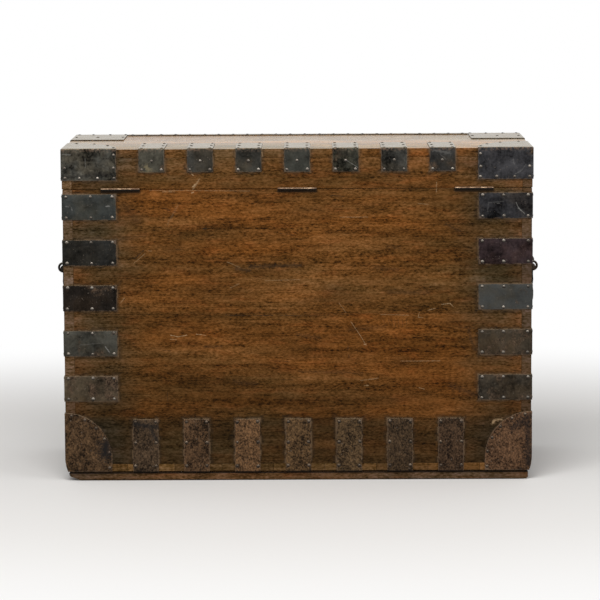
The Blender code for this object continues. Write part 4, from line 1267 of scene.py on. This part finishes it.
def lid_corners():
    """Three-way corner irons. The top leg of the back pair is trimmed to a quarter of an ellipse."""
    for side, sign in SIDES:
        for face, way in FACES:
            node = f"lid_corner_{face}_{side}"
            out = LID_OUT.copy()
            trims = []
            if way < 0:
                out.y = PROUD - LID_LOW.y
                for angle in evenly(0.06, math.pi / 2 - 0.05, 18):
                    run, depth = LID_CORNER_WIDTH * math.cos(angle), LID_CORNER_DEPTH * math.sin(angle)
                    facing = Vector((-sign * run / LID_CORNER_WIDTH ** 2, depth / LID_CORNER_DEPTH ** 2, 0))
                    trims.append(((sign * (out.x - run), depth - out.y, 0), facing.normalized()))
            places = lid_corner_places(sign, way, out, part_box(node)[0].z + NAIL_INSET)
            dress_iron(node, "lid", ((sign, 0, 0), (0, way, 0), UP), places, trims)


def front_edging():
    low, high = iron_block("lid_edging", "lid", (FRONT, UP))
    count = int(2 * (high.x - NAIL_INSET) / EDGING_NAIL_PITCH) + 1
    places = []
    for x in evenly(low.x + 2 * NAIL_INSET, high.x - 2 * NAIL_INSET, count):
        places.append(((x, high.y + IRON, (low.z + high.z) / 2), FRONT))
        places.append(((x, (low.y + high.y) / 2, high.z + IRON), UP))
    dress_iron("lid_edging", "lid", (FRONT, UP), places, look=DULL_IRON)


# Hinges


def add_rod(form, start, end, radius, sides, ease):
    """A round bar on the hinge axis between two places along X, with eased rims."""
    along = Vector((end - start, 0, 0))
    where = Matrix.Translation(((start + end) / 2, AXIS_Y, AXIS_Z)) @ aimed(along)
    made = bmesh.ops.create_cone(
        form, cap_ends=True, segments=sides, radius1=radius, radius2=radius, depth=along.length, matrix=where
    )["verts"]
    rims = [edge for edge in edges_of(made) if any(len(face.verts) > 4 for face in edge.link_faces)]
    ease_edges(form, rims, ease)


def hinge_leaf(low, high, y, z):
    form = block((low.x, y, z), (high.x, y + HINGE_LEAF_WIDTH, z + HINGE_LEAF))
    ease_edges(form, form.edges[:], LEAF_EASE, 1)
    return form


def add_knuckle(form, start, end, z):
    """A knuckle of a hinge, and the neck that joins it to its leaf."""
    add_block(form, (start, AXIS_Y, z), (end, WOOD_LOW.y + HINGE_LEAF, z + HINGE_LEAF))
    add_rod(form, start, end, KNUCKLE_RADIUS, 28, KNUCKLE_EASE)


def hinges():
    """Butt hinges: a leaf let into each board, rolled knuckles and the pin's round heads."""
    base_z = WOOD_HIGH.z - HINGE_LEAF
    for number in HINGES:
        low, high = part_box(f"hinge_{number}_base_leaf")
        middle, half = (low.x + high.x) / 2, (high.x - low.x) / 2
        reach = half / 3 - KNUCKLE_GAP
        base = hinge_leaf(low, high, WOOD_LOW.y, base_z)
        add_knuckle(base, middle - half, middle - half / 3, base_z)
        add_knuckle(base, middle + half / 3, middle + half, base_z)
        for way in (-1, 1):
            tip = middle + way * half
            add_rod(base, tip - way * half / 8, tip + way * PIN_HEAD_PROUD, PIN_HEAD, 20, PIN_HEAD_EASE)
        lid = hinge_leaf(low, high, LID_LOW.y, LID_LOW.z)
        add_knuckle(lid, middle - reach, middle + reach, LID_LOW.z)
        for form, part, body in ((base, "base", "carcass"), (lid, "lid", "lid")):
            nodes = [f"hinge_{number}_{part}_leaf"]
            finish_piece(f"steel_hinge_{number}_{part}", form, body, nodes, [WORN_STEEL])


# Handles


def drawn_rod(form, stations, sides):
    """A rod forged along its stations: each is a point, the way it runs there and its radius."""
    def frame_of(point, along, radius):
        return Matrix.Translation(point) @ aimed(along, up="X") @ Matrix.Diagonal((radius, radius, radius, 1))

    here = frame_of(*stations[0])
    ring = bmesh.ops.create_circle(form, cap_ends=True, segments=sides, radius=1, matrix=here)["verts"]
    edges = edges_of(ring)
    for station in stations[1:]:
        there = frame_of(*station)
        made = bmesh.ops.extrude_edge_only(form, edges=edges)["geom"]
        ring = verts_among(made)
        edges = [
            item for item in made if isinstance(item, bmesh.types.BMEdge) and all(v in ring for v in item.verts)
        ]
        bmesh.ops.transform(form, matrix=there @ here.inverted(), verts=ring)
        here = there
    bmesh.ops.holes_fill(form, edges=edges, sides=0)


def bail_stations(pivot):
    """The bail from its back end, down, along the grip and up to its front end."""
    arm = EYE_SPACING / 2 - EYE_THICKNESS / 2 - BAIL_SLACK - BAIL_RADIUS
    stub = EYE_SPACING / 2 + EYE_THICKNESS / 2 + BAIL_STUB
    half = [(stub - inset, 0.0, thick) for inset, thick in BAIL_HEAD]
    half.append((arm + 0.012, 0.0, 0.96))
    for angle in evenly(0, math.pi / 2, 5):
        half.append((arm + BAIL_BEND * (1 - math.sin(angle)), BAIL_BEND * (math.cos(angle) - 1), 1.0))
    half.append((arm, -BAIL_DROP * 0.4, 1.0))
    for angle in evenly(0, math.pi / 2, 9):
        inward, rise = BAIL_ROUND * (1 - math.cos(angle)), BAIL_ROUND * (1 - math.sin(angle))
        half.append((arm - inward, rise - BAIL_DROP, 1.0 + 0.10 * math.sin(angle)))
    half += [(y, -BAIL_DROP, BAIL_GRIP_RADIUS / BAIL_RADIUS) for y in (0.013, 0.0)]
    route = half + [(-y, z, thick) for y, z, thick in reversed(half[:-1])]
    points = [Vector((pivot[0], y, pivot[2] + z)) for y, z, _ in route]
    stations = []
    for index, point in enumerate(points):
        before, after = points[max(0, index - 1)], points[min(len(points) - 1, index + 1)]
        stations.append((point, (after - before).normalized(), BAIL_RADIUS * route[index][2]))
    return stations


def mark_handle(form):
    """Dark forged iron, with no worn border."""
    mark_iron(form, DULL_IRON)
    set_value(form, "border", form.verts, 0.02)


def add_eye(form, centre, sign):
    """A forged eye: a ring turned about Y, on a foot that spreads over the plate."""
    ring = (EYE_RADIUS + EYE_HOLE_RADIUS) / 2
    thick = (EYE_RADIUS - EYE_HOLE_RADIUS) / 2
    where = Matrix.Translation((centre[0] + ring, centre[1], centre[2]))
    where = where @ Matrix.Diagonal((thick, EYE_THICKNESS / 2, 1, 1))
    start = bmesh.ops.create_circle(form, segments=14, radius=1, matrix=where)["verts"]
    bmesh.ops.spin(
        form, geom=start + edges_of(start), cent=centre, axis=(0, 1, 0), angle=math.tau, steps=28,
        use_merge=True, use_duplicate=False,
    )
    bmesh.ops.remove_doubles(form, verts=form.verts, dist=0.00001)
    foot = Matrix.Translation((sign * (CARCASS_OUT.x + EYE_FOOT_HEIGHT / 2), centre[1], centre[2]))
    bmesh.ops.create_cone(
        form, cap_ends=True, segments=20, radius1=EYE_FOOT_RADII[0], radius2=EYE_FOOT_RADII[1],
        depth=EYE_FOOT_HEIGHT, matrix=foot @ Matrix.Rotation(sign * math.pi / 2, 4, "Y"),
    )


def handles():
    """Drop handles: a plate with two forged eyes, and a bail that hangs in them."""
    for side, sign in SIDES:
        node = f"handle_plate_{side}"
        low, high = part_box(node)
        height = (low.z + high.z) / 2
        near, far = sign * (WOOD_HIGH.x + FIT), sign * CARCASS_OUT.x
        form = new_iron()
        add_block(form, (min(near, far), low.y, low.z), (max(near, far), high.y, high.z))
        corners = [edge for edge in form.edges if abs(edge.verts[0].co.x - edge.verts[1].co.x) > IRON / 2]
        ease_edges(form, corners, PLATE_ROUND, 4)
        form.normal_update()
        rims = [edge for edge in form.edges if all(abs(vert.co.x - far) < FIT / 3 for vert in edge.verts)]
        ease_edges(form, rims, RIM_ROUND)
        places = []
        for way in (-1, 1):
            add_eye(form, (far + sign * (EYE_RADIUS - EYE_BITE), way * EYE_SPACING / 2, height), sign)
            for rise in (-1, 1):
                nail_z = height + rise * (high.z - height - NAIL_INSET)
                places.append(((far, way * (high.y - NAIL_INSET), nail_z), (sign, 0, 0)))
        mark_handle(form)
        drive_nails(form, places, Random(node))
        finish_piece(f"iron_{node}", form, "carcass", [node], [HOOP_IRON, NAIL_IRON])
        bail = f"handle_bail_{side}"
        low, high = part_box(bail)
        form = new_iron()
        drawn_rod(form, bail_stations(((low.x + high.x) / 2, 0, high.z - BAIL_RADIUS)), 18)
        bmesh.ops.recalc_face_normals(form, faces=form.faces)
        mark_handle(form)
        finish_piece(f"iron_{bail}", form, f"handle_{side}", [bail], [HOOP_IRON])


# Lock


def lock():
    """Finishes for the lock's own nodes, its fixing pins, and the key plate outside the front."""
    for node, finish in (("lock_case", WORN_STEEL), ("lock_striker", WORN_STEEL), ("lock_bolt", OLD_BRASS)):
        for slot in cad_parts[node].material_slots:
            slot.material = finish
    low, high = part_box("lock_case")
    form = new_iron()
    places = [
        ((x, low.y, z), BACK)
        for x in (low.x + LOCK_PIN_INSET, high.x - LOCK_PIN_INSET)
        for z in (low.z + LOCK_PIN_INSET, high.z - LOCK_PIN_INSET)
    ]
    drive_nails(form, places, Random("case"))
    finish_piece("lock_case_pins", form, "carcass", [], [WORN_STEEL, NAIL_IRON])
    key_plate()


def key_plate():
    """An oval plate with a keyhole, on the front."""
    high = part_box("front")[1]
    lay = Matrix.Translation((0, high.y + FIT, high.z - KEYHOLE_DROP)) @ Matrix.Rotation(-math.pi / 2, 4, "X")
    form = bmesh.new()
    for width, height in (KEY_PLATE_HALF, (KEYHOLE_WIDTH / 2, KEYHOLE_HEIGHT / 2)):
        oval = lay @ Matrix.Diagonal((width, height, 1, 1))
        bmesh.ops.create_circle(form, segments=32, radius=1, matrix=oval)
    bmesh.ops.bridge_loops(form, edges=form.edges[:])
    bmesh.ops.translate(form, vec=(0, KEY_PLATE_THICKNESS, 0), verts=verts_among(grow(form, form.faces[:])))
    bmesh.ops.recalc_face_normals(form, faces=form.faces)
    rims = [edge for edge in form.edges if sharp(edge) and edge.verts[0].co.y > high.y + 0.001]
    ease_edges(form, rims, LEAF_EASE)
    finish_piece("brass_key_plate", form, "carcass", [], [OLD_BRASS])


# The room


def camera():
    """The photograph's view, found by a fit to the trunk's corners."""
    data = bpy.data.cameras.new("photo_view")
    data.sensor_width = 36
    data.lens = FOCAL_PIXELS / PICTURE_PIXELS * data.sensor_width
    data.clip_end = 60
    view = new_object("photo_view", data)
    turn = Matrix.Rotation(CAMERA_PAN, 4, "Z") @ Matrix.Rotation(math.pi / 2 - CAMERA_DIP, 4, "X")
    turn = turn @ Matrix.Rotation(CAMERA_ROLL, 4, "Z")
    view.matrix_world = Matrix.Translation(CAMERA_PLACE) @ turn
    bpy.context.scene.camera = view


def lamp(name, place, target, size, power):
    data = bpy.data.lights.new(name, "AREA")
    data.shape = "DISK"
    data.size = size
    data.energy = power
    aim = aimed(Vector(target) - Vector(place), "-Z")
    new_object(name, data).matrix_world = Matrix.Translation(place) @ aim


def ray_is(tree, first, *others):
    """One for rays of these kinds, and zero for all others."""
    rays = add_node(tree, "LightPath").outputs
    found = Value(rays[first])
    for other in others:
        found = highest(found, Value(rays[other]))
    return found


def room():
    """A plain pale floor that fades into a white background, with soft lamps above."""
    form = bmesh.new()
    bmesh.ops.create_circle(form, cap_ends=True, segments=96, radius=6)
    floor = new_object("floor", new_mesh("floor", form))
    made, shader, place = new_finish("pale_floor", Roughness=0.8, Specular_IOR_Level=0.1)
    feed(shader["Base Color"], (0.78, 0.765, 0.745))
    floor.data.materials.append(made)
    tree = made.node_tree
    far = step(reckon("LENGTH", place * (0.8, 1, 1)), 0.75, 1.9)
    fade = far * ray_is(tree, "Is Camera Ray", "Is Glossy Ray")
    white = Value(add_node(tree, "Emission", {"Color": (1, 1, 1), "Strength": 1.0}).outputs[0])
    plain = Value(tree.nodes["Principled BSDF"].outputs[0])
    mixed = derive("MixShader", {0: fade, 1: plain, 2: white})
    feed(tree.nodes["Material Output"].inputs["Surface"], mixed)
    world = bpy.data.worlds.new("white_room")
    bpy.context.scene.world = world
    world.use_nodes = True
    background = world.node_tree.nodes["Background"].inputs
    seen = ray_is(world.node_tree, "Is Camera Ray", "Is Glossy Ray", "Is Transmission Ray")
    feed(background["Color"], (1, 1, 1))
    feed(background["Strength"], between(seen, 0.52, 1.0))
    lamp("lamp_above", (-0.5, -2.2, 3.6), (0, 0, 0.3), 2.4, 95)
    lamp("lamp_side", (2.6, -2.4, 2.2), (0, 0, 0.35), 1.8, 22)


boards()
end_straps()
base_straps()
base_corners()
lid_brackets()
lid_corners()
front_edging()
hinges()
handles()
lock()
camera()
room()
bpy.context.scene.view_settings.view_transform = "Standard"
